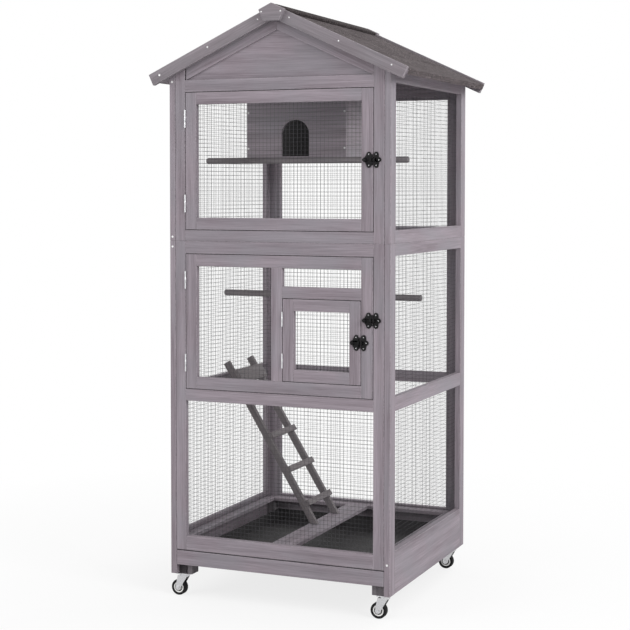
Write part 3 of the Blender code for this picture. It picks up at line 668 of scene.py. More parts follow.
@dataclass(frozen=True)
class Finish:
    """Finish that makes one material and puts it on pieces."""

    name: str

    def material(self) -> bpy.types.Material:
        """Returns the finish's material, built at its first use.

        Returns:
            The material.
        """
        found = bpy.data.materials.get(self.name)
        if found:
            return found
        made = bpy.data.materials.new(self.name)
        made.use_nodes = True
        sheet = NodeSheet(made.node_tree)
        sheet.add("OutputMaterial", {"Surface": self.surface(sheet).outputs[0]})
        return made

    def surface(self, sheet: NodeSheet) -> Node:
        """Fills the sheet and returns its shader; each kind of finish has its own."""
        raise NotImplementedError

    def put_on(self, piece: Solid) -> None:
        """Makes this the finish of a whole piece.

        Args:
            piece: The piece.
        """
        material = self.material()
        if not piece.material_slots:
            piece.data.materials.append(material)
        for slot in piece.material_slots:
            slot.material = material


@dataclass(frozen=True)
class TimberFinish(Finish):
    """Stained and weathered timber, with its grain, pores, clouds and rubbed edges, whose eased
    edges are painted lighter as wear and as a painted highlight.
    """

    dark: Colour = (108, 98, 105)
    light: Colour = (150, 140, 148)
    cloud: Colour = (128, 127, 133)
    # Colour of the eased edges: rubbed wear and a painted highlight.
    rubbed_highlight: Colour = (168, 160, 165)
    place: FibrePlace = FibrePlace.BOARD
    stained: Span = (0.36, 0.64)       # tones from dark to light
    clouded: Span = (0.42, 0.66)
    cloud_most: float = 0.45
    rubbed_highlight_most: float = 0.55
    roughness: Span = (0.66, 0.84)
    bump: float = 0.35
    relief: float = 0.0008

    def surface(self, sheet: NodeSheet) -> Node:
        """Fills the sheet with stained timber.

        Args:
            sheet: The material's node sheet.

        Returns:
            The shader.
        """
        if self.place is FibrePlace.BOARD:
            place = sheet.add("Attribute", attribute_name="timber").outputs["Vector"]
            edge = sheet.add("Attribute", attribute_name="edge").outputs["Fac"]
        else:
            place, edge = sheet.add("TexCoord").outputs["Object"], 0.0
        figure = sheet.add("Group", {"Place": place, "Edge": edge},
                           node_tree=shared("Timber figure")).outputs
        stain = sheet.blend(sheet.spread(figure["Tone"], self.stained), shade(self.dark),
                            shade(self.light))
        cloudy = sheet.blend(sheet.spread(figure["Cloud"], self.clouded, (0.0, self.cloud_most)),
                             stain, shade(self.cloud))
        # Eased edges turn lighter: wear and a painted highlight.
        colour = sheet.blend(sheet.spread(figure["Worn highlight"], (0.0, 1.0), (0.0, self.rubbed_highlight_most)),
                             cloudy, shade(self.rubbed_highlight))
        bump = sheet.add("Bump", {"Height": figure["Tone"], "Strength": self.bump,
                                  "Distance": self.relief})
        return sheet.add("BsdfPrincipled", {
            "Base Color": colour, "Normal": bump.outputs[0],
            "Roughness": sheet.spread(figure["Fibre"], NOISE_MOST, self.roughness)})


@dataclass(frozen=True)
class GritFinish(Finish):
    """Metal, paint, rubber, felt or plastic, with specks, patches and a fine relief."""

    low: Colour
    high: Colour
    patch: Colour
    grit: float
    patches: float
    roughness: Span
    metallic: float = 0.0
    specular: float = 0.5
    contrast: Span = (0.4, 0.6)        # specks from low to high
    patched: Span = (0.42, 0.7)
    patch_most: float = 0.7
    relief: float = 0.0002
    bump: float = 0.3

    def surface(self, sheet: NodeSheet) -> Node:
        """Fills the sheet with the specked surface.

        Args:
            sheet: The material's node sheet.

        Returns:
            The shader.
        """
        place = sheet.add("TexCoord").outputs["Object"]
        speckled = sheet.add("Group", {"Place": place, "Grit": self.grit, "Patches": self.patches},
                             node_tree=shared("Speckle")).outputs
        grain = sheet.blend(sheet.spread(speckled["Speck"], self.contrast), shade(self.low),
                            shade(self.high))
        colour = sheet.blend(sheet.spread(speckled["Patch"], self.patched, (0.0, self.patch_most)),
                             grain, shade(self.patch))
        bump = sheet.add("Bump", {"Height": speckled["Speck"], "Strength": self.bump,
                                  "Distance": self.relief})
        return sheet.add("BsdfPrincipled", {
            "Base Color": colour, "Normal": bump.outputs[0], "Metallic": self.metallic,
            "Specular IOR Level": self.specular,
            "Roughness": sheet.spread(speckled["Patch"], NOISE_MOST, self.roughness)})


STAINED = TimberFinish("Stained timber")
STRIP = TimberFinish("Stained strips", (100, 93, 98), (140, 132, 138), (118, 117, 121))
NEST = TimberFinish("Stained nest box", (116, 108, 114), (160, 151, 158), (138, 137, 143))
# Painted shade: near-black panel at the back of the nest box, seen through the doorway as the box's
# dark inside.
SHADE_PANEL = TimberFinish("Painted shade panel", (26, 24, 25), (44, 41, 43), (34, 33, 34), (60, 56, 58))
# Painted shade: near-black strips behind the door gaps that make the gaps read dark.
GAP_SHADE = TimberFinish("Dark door stops", (14, 13, 14), (28, 26, 27), (20, 19, 20), (34, 32, 33))
# Painted shade: darker timber for the legs, blocks and runners under the floor, which lie in shadow.
LEG_SHADE = TimberFinish("Darker inside timber", (78, 73, 76), (122, 115, 119), (104, 100, 106),
                      (138, 131, 134))
LADDER_WOOD = TimberFinish("Ladder timber", (82, 76, 78), (124, 118, 120), (105, 100, 103),
                           (138, 131, 133))
ROUND_BARS = TimberFinish("Round bars", (84, 80, 82), (132, 126, 129), (112, 108, 112),
                          place=FibrePlace.ROUND_BAR)
FELT = GritFinish("Mineral felt", (38, 35, 36), (128, 118, 120), (72, 66, 67), 260.0, 12.0,
                  (0.92, 1.0), specular=0.1, contrast=(0.42, 0.62), relief=0.0012, bump=0.7)
CAP_FELT = replace(FELT, name="Ridge felt", low=(28, 25, 25), high=(92, 84, 85),
                   patch=(52, 47, 47))
GALVANISED = GritFinish("Galvanised wire", (54, 53, 56), (86, 85, 88), (68, 67, 71), 420.0, 24.0,
                        (0.5, 0.68), metallic=0.15, specular=0.2)
ZINC = GritFinish("Bright zinc", (190, 190, 192), (226, 226, 228), (206, 206, 209), 1500.0, 60.0,
                  (0.28, 0.45), metallic=0.8)
BLACK_IRON = GritFinish("Black painted iron", (7, 7, 8), (20, 19, 21), (13, 12, 14), 700.0, 90.0,
                        (0.3, 0.45), specular=0.17, relief=0.0003)
CHROME = GritFinish("Dulled chrome", (176, 176, 178), (222, 222, 224), (198, 197, 200), 1200.0,
                    70.0, (0.16, 0.34), metallic=0.95)
TYRE = GritFinish("Tyre rubber", (8, 8, 9), (20, 19, 20), (30, 29, 30), 1400.0, 50.0,
                  (0.7, 0.85), specular=0.2)
GREASE = GritFinish("Dark grease", (18, 17, 17), (34, 32, 31), (26, 25, 24), 1600.0, 120.0,
                    (0.3, 0.6))
NYLON = GritFinish("White nylon", (232, 231, 229), (248, 248, 247), (222, 221, 218), 900.0, 80.0,
                   (0.38, 0.55))
TRAY_PAINT = GritFinish("Black tray paint", (28, 27, 28), (52, 50, 51), (42, 40, 42), 260.0, 10.0,
                        (0.66, 0.8), relief=0.0003)
# Screw heads of the latches, kept bright: partly real screws, partly a painted highlight on the
# lobes.
LATCH_SCREWS_AND_HIGHLIGHT = GritFinish("Latch screws and painted highlight", (150, 149, 151), (206, 205, 207), (170, 169, 172),
                          900.0, 200.0, (0.2, 0.32), metallic=0.8)
SCREW_STEEL = GritFinish("Screw steel", (206, 206, 206), (240, 240, 240), (222, 221, 221), 1500.0,
                         200.0, (0.3, 0.45), metallic=0.25)


# Sub-assemblies

class SubAssembly:
    """Part of the cage that builds, dresses and reports its own pieces."""

    def dress(self, piece: Solid, finish: Finish, slot: str, *nodes: str,
              body: str = "cage") -> None:
        """Finishes a new piece and hangs it on its body.

        Args:
            piece: The new piece.
            finish: Its finish.
            slot: Not used.
            *nodes: CAD nodes that it replaces.
            body: CAD body that it rides on.
        """
        finish.put_on(piece)
        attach(piece, body)
        if nodes:
            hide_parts(*nodes)
        LOG.info("%s: %d faces, rides on %s", piece.name, len(piece.data.polygons), body)

    def refinish(self, finish: Finish, *nodes: str) -> None:
        """Gives CAD nodes, whose shapes stay, a better finish.

        Args:
            finish: The finish.
            *nodes: The CAD nodes.
        """
        for node in nodes:
            finish.put_on(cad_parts[node])
            LOG.info("%s: CAD shape in %s", node, finish.name)

    def timberwork(self, name: str, boards: Sequence[Board], *nodes: str,
                   finish: Finish = STAINED, slot: str = "stained_wood",
                   body: str = "cage") -> None:
        """Builds a piece out of boards and dresses it.

        Args:
            name: Name of the piece.
            boards: Its boards.
            *nodes: CAD nodes that it replaces.
            finish: Its finish.
            slot: The material slot that it stands for.
            body: CAD body that it rides on.
        """
        draw = random.Random(name)
        piece = joined(name, [board.build(draw) for board in boards])
        self.dress(piece, finish, slot, *nodes, body=body)

    def metalwork(self, name: str, parts: Sequence[Solid], finish: Finish, slot: str = "zinc",
                  body: str = "cage") -> None:
        """Joins small metal parts into one smooth piece and dresses it."""
        self.dress(smooth(joined(name, parts)), finish, slot, body=body)


@dataclass(frozen=True)
class ScrewHead:
    """Domed screw head with a sunk middle."""

    radius: float
    height: float = 0.0008
    sides: int = 12
    dome: Span = (0.35, 0.4)           # inset by the radius and rise by the height
    dip: Span = (0.2, -0.5)            # the same for its sunk middle

    def build(self, place: Point, axis: Axis, way: int) -> Solid:
        """Builds the head.

        Args:
            place: Middle of its seat.
            axis: Axis of the screw.
            way: Sign of the way that the head looks.

        Returns:
            The head.
        """
        look = Vector(axis.unit(way))
        head = rod(Vector(place) + look * self.height / 2, axis, self.radius, self.height,
                   self.sides)
        with editing(head):
            inset_faces(head, look, *((self.radius * inward, self.height * rise)
                                      for inward, rise in (self.dome, self.dip)))
        return head


@dataclass
class SidePanels(SubAssembly):
    """Side frames of both storeys, whose stiles cover the ends of the front and back frames."""

    stiles: tuple[Span, Span] = ((LINES.front, -0.326), (0.326, LINES.back))
    board_top: float = 0.208
    mid_rail_top: float = 0.673
    head_rail: float = 1.095
    upper_sill_top: float = 1.171
    top_rail: float = 1.612

    def build(self) -> None:
        """Builds both storeys of both sides."""
        foot, joint, top = LINES.side_bottom, LINES.joint_z, LINES.side_top
        lower = ((foot, self.board_top), (LINES.mid_bottom, self.mid_rail_top),
                 (self.head_rail, joint - SEAM))
        upper = ((joint, self.upper_sill_top), (self.top_rail, top))
        for side, word in SIDES:
            for storey, height, rails, nodes in (
                    ("lower", (foot, joint - SEAM), lower, ("lower_side", "corner_strip")),
                    ("upper", (joint, top), upper, ("upper_side",))):
                boards = stiles_and_rails(Axis.Y, spans(side, LINES.inner_x, LINES.side_x),
                                          self.stiles, height, rails)
                self.timberwork(f"timber_{storey}_side_{word}", boards,
                                *(f"{node}_{word}" for node in nodes))


@dataclass
class StoreyFrames(SubAssembly):
    """Posts and rails of the front and back of both storeys."""

    edge: float = 0.3480

    def build(self) -> None:
        """Builds the front and the back."""
        self.face("front", (LINES.front, LINES.inner_front), LINES.front_post, LINES.sill_bottom)
        self.face("back", (LINES.inner_back, LINES.back), LINES.back_post, LINES.side_bottom)

    def face(self, word: str, depth: Span, inner: float, bottom: float) -> None:
        """Builds both storeys of one face; the upper posts are sawn to the roof's slope.

        Args:
            word: "front" or "back".
            depth: Its lowest and highest y.
            inner: Distance of the posts' inner edges from the middle.
            bottom: Lower end of the posts.
        """
        joint, peak = LINES.joint_z, LINES.under_roof(inner)
        posts = [spans(side, inner, self.edge) for side, _ in SIDES]
        lower = stiles_and_rails(Axis.X, depth, posts, (bottom, joint - SEAM),
                                 ((bottom, LINES.sill_top), (LINES.mid_bottom, LINES.mid_top),
                                  (LINES.head_bottom, joint - SEAM)))
        upper = stiles_and_rails(Axis.X, depth, posts, (joint, peak),
                                 ((joint, LINES.upper_sill), (LINES.upper_head, LINES.gable_base)))
        for i, (side, _) in enumerate(SIDES):
            bevel = ((side * inner, 0.0, peak), LINES.outward(side))
            upper[i] = replace(upper[i], cuts=(bevel,))
        self.timberwork(f"timber_lower_frame_{word}", lower, f"lower_frame_{word}")
        self.timberwork(f"timber_upper_frame_{word}", upper, f"upper_frame_{word}")


@dataclass
class Gables(SubAssembly):
    """Rafters with a sunk field board under both ends of the roof."""

    rafter_w: float = 0.043
    rafter_t: float = 0.019
    rough: Span = (-0.05, 0.45)        # rafter along the slope from the ridge, before it is sawn
    recess: float = 0.008
    field_t: float = 0.009
    tuck: float = 0.004                # field board behind the rafters

    def build(self) -> None:
        """Builds the front and back gable."""
        for (way, word), post in zip(ENDS, (LINES.front_post, LINES.back_post)):
            self.gable(way, word, post - SEAM)

    def gable(self, way: int, word: str, edge: float) -> None:
        """Builds one gable.

        Args:
            way: -1 at the front, 1 at the back.
            word: "front" or "back".
            edge: Distance of its ends from the middle.
        """
        foot, under = LINES.gable_base + SEAM, LINES.barge_lip + LINES.roof_t
        low, high = spans(way, LINES.back - self.rafter_t, LINES.back)
        boards = []
        for side, _ in SIDES:
            cuts = (LINES.plumb_cut(side), ((side * edge, 0.0, 0.0), (side, 0.0, 0.0)),
                    ((0.0, 0.0, foot), DOWN))
            boards.append(Board((self.rough[0], low, -self.rafter_w), (self.rough[1], high, -SEAM),
                                Axis.X, cuts, LINES.along_slope(side, under)))
        low, high = spans(way, LINES.back - self.recess - self.field_t, LINES.back - self.recess)
        drop = under + self.rafter_w - self.tuck
        peak = LINES.slope(0.0, drop)
        reach = min(edge, LINES.side_x - (foot - LINES.slope(LINES.side_x, drop))
                    / math.tan(LINES.pitch))
        boards.append(Board((-reach, low, foot), (reach, high, peak), Axis.X,
                            tuple(((0.0, 0.0, peak), LINES.outward(side)) for side, _ in SIDES)))
        self.timberwork(f"timber_gable_{word}", boards, f"gable_{word}")


@dataclass
class Roof(SubAssembly):
    """Roof boards, courses of mineral felt, ridge cap, barge boards and ridge plates."""

    end_y: float = 0.3807
    eave: float = 0.4719               # along the slope, ridge to eave
    boards_up: int = 4
    spare: float = 0.02                # boards past the ridge, before they are sawn
    felt_t: float = 0.0026
    courses: int = 3
    overlap: float = 0.0015            # each course over the next
    lap_lift: float = 0.0009
    lip: Patch = (-0.0004, 0.0022, -0.0006, 0.0006)    # felt turned down at the eaves
    felt_edge: float = 0.0007
    cap_half: float = 0.042
    cap_lift: float = 0.004            # cap above the top of the barge boards
    cap_weld: float = 0.0002
    cap_edge: float = 0.0025
    barge_face: float = 0.396
    barge_t: float = 0.015
    barge_w: float = 0.037
    barge_spare: float = 0.03
    plate_t: float = 0.018
    plate_w: float = 0.038

    def build(self) -> None:
        """Builds both slopes, the cap and both ends."""
        for side, word in SIDES:
            self.slope(side, word)
        self.cap()
        for way, word in ENDS:
            self.end(way, word)

    def strips(self, count: int) -> list[Span]:
        """Returns equal strips from ridge to eave, the first with spare length to saw off."""
        width = self.eave / count
        return [(i * width if i else -self.spare, (i + 1) * width) for i in range(count)]

    def slope(self, side: int, word: str) -> None:
        """Builds one slope: boards below, courses of felt above.

        Args:
            side: -1 for the left slope, 1 for the right.
            word: "left" or "right".
        """
        ridge = LINES.plumb_cut(side, SEAM / 2)
        placement = LINES.along_slope(side, LINES.barge_lip)
        deck = [Board((low, -self.end_y, -LINES.roof_t), (high, self.end_y, -self.felt_t), Axis.Y,
                      () if i else (ridge,), placement)
                for i, (low, high) in enumerate(self.strips(self.boards_up))]
        self.timberwork(f"timber_roof_{word}", deck, f"roof_board_{word}")
        sheets = [settle(self.course(low, high, i == self.courses - 1), placement)
                  for i, (low, high) in enumerate(self.strips(self.courses))]
        saw(sheets[0], ridge)
        self.dress(joined(f"felt_{word}", sheets), FELT, "roof_felt")

    def course(self, low: float, high: float, last: bool) -> Solid:
        """Builds one course of felt, lifted where it laps over the next.

        Args:
            low: Its upper edge, along the slope from the ridge.
            high: Its lower edge.
            last: Whether it is the one that turns down over the eaves.

        Returns:
            The course, before it is placed.
        """
        sheet = bar((low, -self.end_y, -self.felt_t), (high + self.overlap, self.end_y, 0.0))
        with editing(sheet):
            keep_faces_towards(sheet, Axis.X.unit())
            bpy.ops.transform.translate(value=(0.0, 0.0, self.lap_lift))
        if last:
            inner, outer, under, over = self.lip
            lip = bar((high + inner, -self.end_y, under - LINES.roof_t),
                      (high + outer, self.end_y, over))
            sheet = joined("felt", [sheet, lip])
        return round_edges(sheet, self.felt_edge, segments=2)

    def cap(self) -> None:
        """Builds the felt-covered cap over the ridge, one leaf for each slope."""
        thick = LINES.barge_lip + self.cap_lift - SEAM
        reach = self.cap_half / math.cos(LINES.pitch)
        leaves = []
        for side, _ in SIDES:
            leaf = settle(bar((-self.spare, -self.end_y, -thick), (reach, self.end_y, 0.0)),
                          LINES.along_slope(side, -self.cap_lift))
            leaves.append(saw(leaf, LINES.plumb_cut(side), fill=False))
        cap = joined("felt_ridge_cap", leaves)
        with editing(cap):
            bpy.ops.mesh.remove_doubles(threshold=self.cap_weld)
        round_edges(cap, self.cap_edge, segments=3, sharper_than=30)
        self.dress(smooth(cap), CAP_FELT, "roof_felt", "ridge_cap")

    def end(self, way: int, word: str) -> None:
        """Builds the barge boards and ridge plate at one end.

        Args:
            way: -1 at the front, 1 at the back.
            word: "front" or "back".
        """
        low, high = spans(way, self.barge_face - self.barge_t, self.barge_face)
        boards = [Board((-self.barge_spare, low, -self.barge_w), (self.eave, high, 0.0), Axis.X,
                        (LINES.plumb_cut(side),), LINES.along_slope(side, 0.0))
                  for side, _ in SIDES]
        low, high = spans(way, self.barge_face + SEAM, self.barge_face + self.plate_t)
        top = LINES.slope(0.0, -self.cap_lift)
        corner = LINES.slope(self.cap_half, -self.cap_lift)
        cuts = []
        for side, _ in SIDES:
            cuts.append(((0.0, 0.0, top), LINES.outward(side)))
            cuts.append(((side * self.cap_half, 0.0, corner),
                         (side * math.cos(LINES.pitch), 0.0, -math.sin(LINES.pitch))))
        foot = corner - self.plate_w * math.cos(LINES.pitch)
        boards.append(Board((-self.cap_half, low, foot), (self.cap_half, high, top), Axis.X,
                            tuple(cuts)))
        self.timberwork(f"timber_barge_{word}", boards, f"barge_{word}", finish=STRIP)


@dataclass
class Base(SubAssembly):
    """Floor frame, legs, tray runners and drawer front, with the CAD tray refinished."""

    edge_x: float = 0.3487
    y_end: float = 0.3507
    floor_t: float = 0.012
    ledge_x: float = 0.3167
    bay: Span = (-0.3207, 0.3107)      # front and back edge of the floor's opening
    beam_half: float = 0.039
    leg_w: float = 0.0315
    leg_d: float = 0.0295
    block: float = 0.045
    block_top: float = 0.1037
    leg_bottom: float = 0.0733
    runner: Span = (0.0977, 0.1097)
    runner_reach: float = 0.020
    drawer: Span = (0.107, 0.1526)
    drawer_t: float = 0.016
    drawer_gap: float = 0.001          # between drawer front and sides

    def build(self) -> None:
        """Builds the frame, the legs and the drawer front."""
        top, low = LINES.floor_top, LINES.floor_top - self.floor_t
        front, back = self.bay
        boards, legs = [], []
        for side, _ in SIDES:
            x_low, x_high = spans(side, self.ledge_x, self.edge_x)
            boards.append(Board((x_low, -self.y_end, low), (x_high, self.y_end, top), Axis.Y))
            legs += self.leg_boards(side, low)
        boards.append(Board((-self.beam_half, front, low), (self.beam_half, back, top), Axis.Y))
        for y_low, y_high in ((-self.y_end, front), (back, self.y_end)):
            boards.append(Board((-self.ledge_x, y_low, low), (self.ledge_x, y_high, top), Axis.X))
        self.timberwork("timber_floor_frame", boards, "base_frame")
        # The legs, blocks and runners take a darker timber that paints the shade under the floor.
        self.timberwork("timber_legs", legs, finish=LEG_SHADE)
        reach = LINES.inner_x - self.drawer_gap
        face = Board((-reach, LINES.front, self.drawer[0]),
                     (reach, LINES.front + self.drawer_t, self.drawer[1]), Axis.X)
        self.timberwork("timber_drawer_front", [face], "drawer_front", body="drawer")
        self.refinish(TRAY_PAINT, "tray")

    def leg_boards(self, side: int, top: float) -> list[Board]:
        """Lays out the legs, feet and runner of one side.

        Args:
            side: -1 for the left, 1 for the right.
            top: Underside of the floor frame.

        Returns:
            The boards.
        """
        boards = []
        for way, _ in ENDS:
            for width, depth, high in ((self.leg_w, self.leg_d, top),
                                       (self.block, self.block, self.block_top)):
                x_low, x_high = spans(side, self.edge_x - width, self.edge_x - SEAM)
                y_low, y_high = spans(way, self.y_end - depth, self.y_end - SEAM)
                boards.append(Board((x_low, y_low, self.leg_bottom), (x_high, y_high, high)))
        x_low, x_high = spans(side, self.edge_x - self.leg_w - self.runner_reach,
                              self.edge_x - 2 * SEAM)
        y_end = self.y_end - self.leg_d / 2
        boards.append(Board((x_low, -y_end, self.runner[0]), (x_high, y_end, self.runner[1]),
                            Axis.Y))
        return boards


@dataclass
class WireNet(SubAssembly):
    """Welded net of two layers of straight wires, behind one or more openings."""

    name: str
    normal: Axis
    depth: float                       # middle of the net along its normal
    uprights: Sequence[Patch]
    levels: Sequence[Patch]
    node: str
    body: str = "cage"
    pitch: float = 0.0127
    wire_r: float = 0.00041
    sides: int = 6
    edge: float = 0.003                # outermost wires inside the net's edges
    layer: float = 0.9                 # middle of each layer from the net's, in wire radii
    tip: Span = (0.35, 0.3)            # inset and rise of a wire's end, in wire radii
    slack: float = 1e-6                # share of a pitch that rounding may cost

    def build(self) -> None:
        """Builds the net, one wire for each run and the rest by array."""
        origin_a, origin_z = self.uprights[0][0], self.levels[0][2]
        runs = [self.run(patch, Axis.Z, origin_a) for patch in self.uprights]
        runs += [self.run(patch, self.along(), origin_z) for patch in self.levels]
        net = joined(self.name, runs)
        pick(net)
        bpy.ops.object.shade_smooth()
        self.dress(net, GALVANISED, "net_wire", self.node, body=self.body)

    def along(self) -> Axis:
        """Axis of the level wires."""
        return Axis.Y if self.normal is Axis.X else Axis.X

    def place(self, along: float, z: float, layer: float) -> Point:
        """Point of the net from its place along and up, and its layer's shift along the normal."""
        depth = self.depth + layer
        return (depth, along, z) if self.normal is Axis.X else (along, depth, z)

    def run(self, patch: Patch, wire: Axis, origin: float) -> Solid:
        """Builds the parallel wires of one patch.

        Args:
            patch: Its low and high place along, and its low and high z.
            wire: Axis of the wires.
            origin: Edge that the pitch is counted from.

        Returns:
            The wires as one mesh.
        """
        a_low, a_high, z_low, z_high = patch
        upright = wire is Axis.Z
        low, high = (a_low, a_high) if upright else (z_low, z_high)
        steps = math.ceil((low - origin) / self.pitch - self.slack)
        first = origin + self.edge + steps * self.pitch
        count = int((high - self.edge - first) / self.pitch + self.slack) + 1
        layer = self.wire_r * (self.layer if upright else -self.layer)
        middle = (self.place(first, (z_low + z_high) / 2, layer) if upright
                  else self.place((a_low + a_high) / 2, first, layer))
        length = (z_high - z_low) if upright else (a_high - a_low)
        piece = rod(middle, wire, self.wire_r, length, self.sides)
        with editing(piece):
            for way in (-1, 1):
                inset_faces(piece, wire.unit(way), tuple(self.wire_r * part for part in self.tip))
        step = Vector(self.along().unit() if upright else UP) * self.pitch
        finish_modifier(piece, "ARRAY", count=count, use_relative_offset=False,
                        use_constant_offset=True, constant_offset_displace=step)
        return piece


def cad_net(name: str, node: str, body: str = "cage", end: Optional[float] = None) -> WireNet:
    """Lays out the fine net that takes the place of a coarse CAD net.

    Args:
        name: Name of the piece.
        node: The CAD net.
        body: CAD body that it rides on.
        end: Its far edge, where that isn't the CAD net's.

    Returns:
        The net.
    """
    low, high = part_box(node)
    normal = Axis.X if high.x - low.x < high.y - low.y else Axis.Y
    axis, along = normal.value, 1 - normal.value
    patch = (low[along], high[along] if end is None else end, low.z, high.z)
    return WireNet(name, normal, (low[axis] + high[axis]) / 2, [patch], [patch], node, body)


def wall_nets() -> list[WireNet]:
    """Returns the nets of the walls; the side ones end at the side frames' rear stiles.

    Returns:
        The nets.
    """
    sides = [cad_net(f"wire_net_{word}", f"net_{word}", end=LINES.side_net_end)
             for word in ("lower_left", "lower_right", "upper_left", "upper_right")]
    return sides + [cad_net(f"wire_net_{word}", f"net_{word}")
                    for word in ("lower_back", "upper_back", "lower_front")]


def door_nets() -> list[WireNet]:
    """Returns the nets of the three doors; the lower one goes round the small door.

    Returns:
        The nets.
    """
    upper, small, lower = [cad_net(f"wire_{word}_door", f"{word}_door_net", f"{word}_door_leaf")
                           for word in ("upper", "small", "lower")]
    left, right, low, high = lower.uprights[0]
    turn_x, turn_z = -0.008, 0.985     # where the lower net turns round the small door
    lower = replace(lower,
                    uprights=[(left, turn_x, low, high), (turn_x, right, turn_z, high)],
                    levels=[(left, turn_x, low, turn_z), (left, right, turn_z, high)])
    return [upper, small, lower]


@dataclass
class Door(SubAssembly):
    """Netted door of stiles and rails, with the moving knuckles of its hinges."""

    word: str
    bay: Bay
    hinges: Span                       # middle of the low and the high hinge
    hinge_h: float = 0.055
    frame_w: float = 0.037
    extra: Sequence[Board] = ()
    pin_y: float = -0.3728
    knuckle_r: float = 0.0025
    knuckle_edge: float = 0.0004
    tie: Span = (0.0016, 0.0022)       # leaf between knuckle and door, right of the pin
    tie_sunk: float = 0.0005
    tie_edge: float = 0.00015

    def build(self) -> None:
        """Builds the leaf and its knuckles and refinishes the fixed hinge leaves."""
        body = f"{self.word}_door_leaf"
        boards = surround(self.bay.grown(-DOOR_GAP, -DOOR_GAP), (LINES.front, LINES.inner_front),
                          self.frame_w)
        self.timberwork(f"timber_{self.word}_door", [*boards, *self.extra], f"{self.word}_door",
                        body=body)
        self.metalwork(f"zinc_{self.word}_door_knuckles",
                       [part for level in self.hinges for part in self.knuckle(level)], ZINC,
                       body=body)
        self.refinish(ZINC, f"{self.word}_hinge_low", f"{self.word}_hinge_high")

    def knuckle(self, level: float) -> list[Solid]:
        """Builds the moving knuckle of one hinge and the leaf that ties it to the door.

        Args:
            level: Height of the hinge's middle.

        Returns:
            The barrel and the leaf.
        """
        pin_x = self.bay.span[0] + DOOR_GAP / 2
        tall = self.hinge_h / 3 - 2 * SEAM
        barrel = rod((pin_x, self.pin_y, level), Axis.Z, self.knuckle_r, tall)
        leaf = bar((pin_x + self.tie[0], self.pin_y, level - tall / 2),
                   (pin_x + self.tie[1], LINES.front + self.tie_sunk, level + tall / 2))
        return [round_edges(barrel, self.knuckle_edge, segments=2, sharper_than=60),
                round_edges(leaf, self.tie_edge, segments=1)]


def doors() -> list[Door]:
    """Returns the three doors; the lower one has a mullion and a transom by the small door.

    Returns:
        The doors.
    """
    (left, right), (low, high) = SMALL_BAY.span, SMALL_BAY.height
    mullion_w, transom_h, mullion_top = 0.037, 0.035, 1.054
    extra = [Board((left - mullion_w, LINES.front, low), (left, LINES.inner_front, mullion_top)),
             Board((left, LINES.front, high), (right, LINES.inner_front, high + transom_h),
                   Axis.X)]
    return [Door("upper", UPPER_BAY, (1.249, 1.513)),
            Door("lower", LOWER_BAY, (0.750, 1.010), extra=extra),
            Door("small", SMALL_BAY, (0.770, 0.898), hinge_h=0.045, frame_w=0.036)]


@dataclass
class GapShadeStrips(SubAssembly):
    """Near-black strips behind the gaps round the three doors: painted shade that darkens the gaps.
    """

    width: float = 0.011
    depth: Span = (-0.3507, -0.3489)
    reach: float = 0.0035              # past the bay's edges
    reach_up: float = 0.004            # past the sills and heads of the large bays
    ease: float = 0.0003

    def build(self) -> None:
        """Builds the painted-shade strips of both large bays on the cage and the small one's on its
        door.
        """
        for name, bay, up, body in (("stop_upper_bay", UPPER_BAY, self.reach_up, "cage"),
                                    ("stop_lower_bay", LOWER_BAY, self.reach_up, "cage"),
                                    ("stop_small_door", SMALL_BAY, self.reach, "lower_door_leaf")):
            boards = surround(bay.grown(self.reach, up), self.depth, self.width, self.ease)
            self.timberwork(name, boards, finish=GAP_SHADE, body=body)


@dataclass
class Latches(SubAssembly):
    """Black lobed latches, each with screws in its lobes, kept bright so that they also stand for
    painted highlights on the lobes.
    """

    latches: Sequence[tuple[str, Bay, float, str]] = (
        ("upper", UPPER_BAY, 1.381, "cage"), ("lower", LOWER_BAY, 0.9035, "cage"),
        ("small", SMALL_BAY, 0.8355, "lower_door_leaf"))
    face: float = -0.3723
    reach: float = 0.0015              # plates' straight edges from the gap's middle
    plate_body: float = 0.0245
    keeper_body: float = 0.0165
    lobe: float = 0.0165
    screw: ScrewHead = ScrewHead(0.0018)
    weld: float = 0.00001
    flat: float = math.radians(1)      # faces that turn less are merged
    edge: float = 0.0005
    crisp: float = 50.0                # edges that turn more stay sharp

    def build(self) -> None:
        """Builds plate, keeper, bolt and screws of each latch."""
        for word, bay, level, keeper in self.latches:
            gap, leaf = bay.span[1] - DOOR_GAP / 2, f"{word}_door_leaf"
            self.cast(f"iron_{word}_latch_plate", f"{word}_latch_plate", leaf)
            self.cast(f"iron_{word}_latch_keeper", f"{word}_latch_keeper", keeper)
            self.cast(f"iron_{word}_bolt", f"{word}_bolt", f"{word}_door_bolt")
            for name, way, width, body in (("latch", -1, self.plate_body, leaf),
                                           ("keeper", 1, self.keeper_body, keeper)):
                edge = gap + way * self.reach
                places = [(edge + way * width / 2, level - self.lobe),
                          (edge + way * width / 2, level + self.lobe),
                          (edge + way * width, level)]
                heads = [self.screw.build((x, self.face, z), Axis.Y, -1) for x, z in places]
                # The bright screw heads also paint the highlights of the lobes.
                self.metalwork(f"screws_{word}_{name}", heads, LATCH_SCREWS_AND_HIGHLIGHT, "latch_black", body)

    def cast(self, name: str, node: str, body: str) -> None:
        """Builds a cast piece from its CAD node, with its doubles merged and its edges rounded.

        Args:
            name: Name of the piece.
            node: CAD node that it starts from and replaces.
            body: CAD body that it rides on.
        """
        piece = bpy.data.objects.new(name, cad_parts[node].data.copy())
        bpy.context.collection.objects.link(piece)
        with editing(piece):
            bpy.ops.mesh.remove_doubles(threshold=self.weld)
            bpy.ops.mesh.dissolve_limited(angle_limit=self.flat)
        round_edges(piece, self.edge, segments=3, sharper_than=40)
        self.dress(smooth(piece, self.crisp), BLACK_IRON, "latch_black", node, body=body)


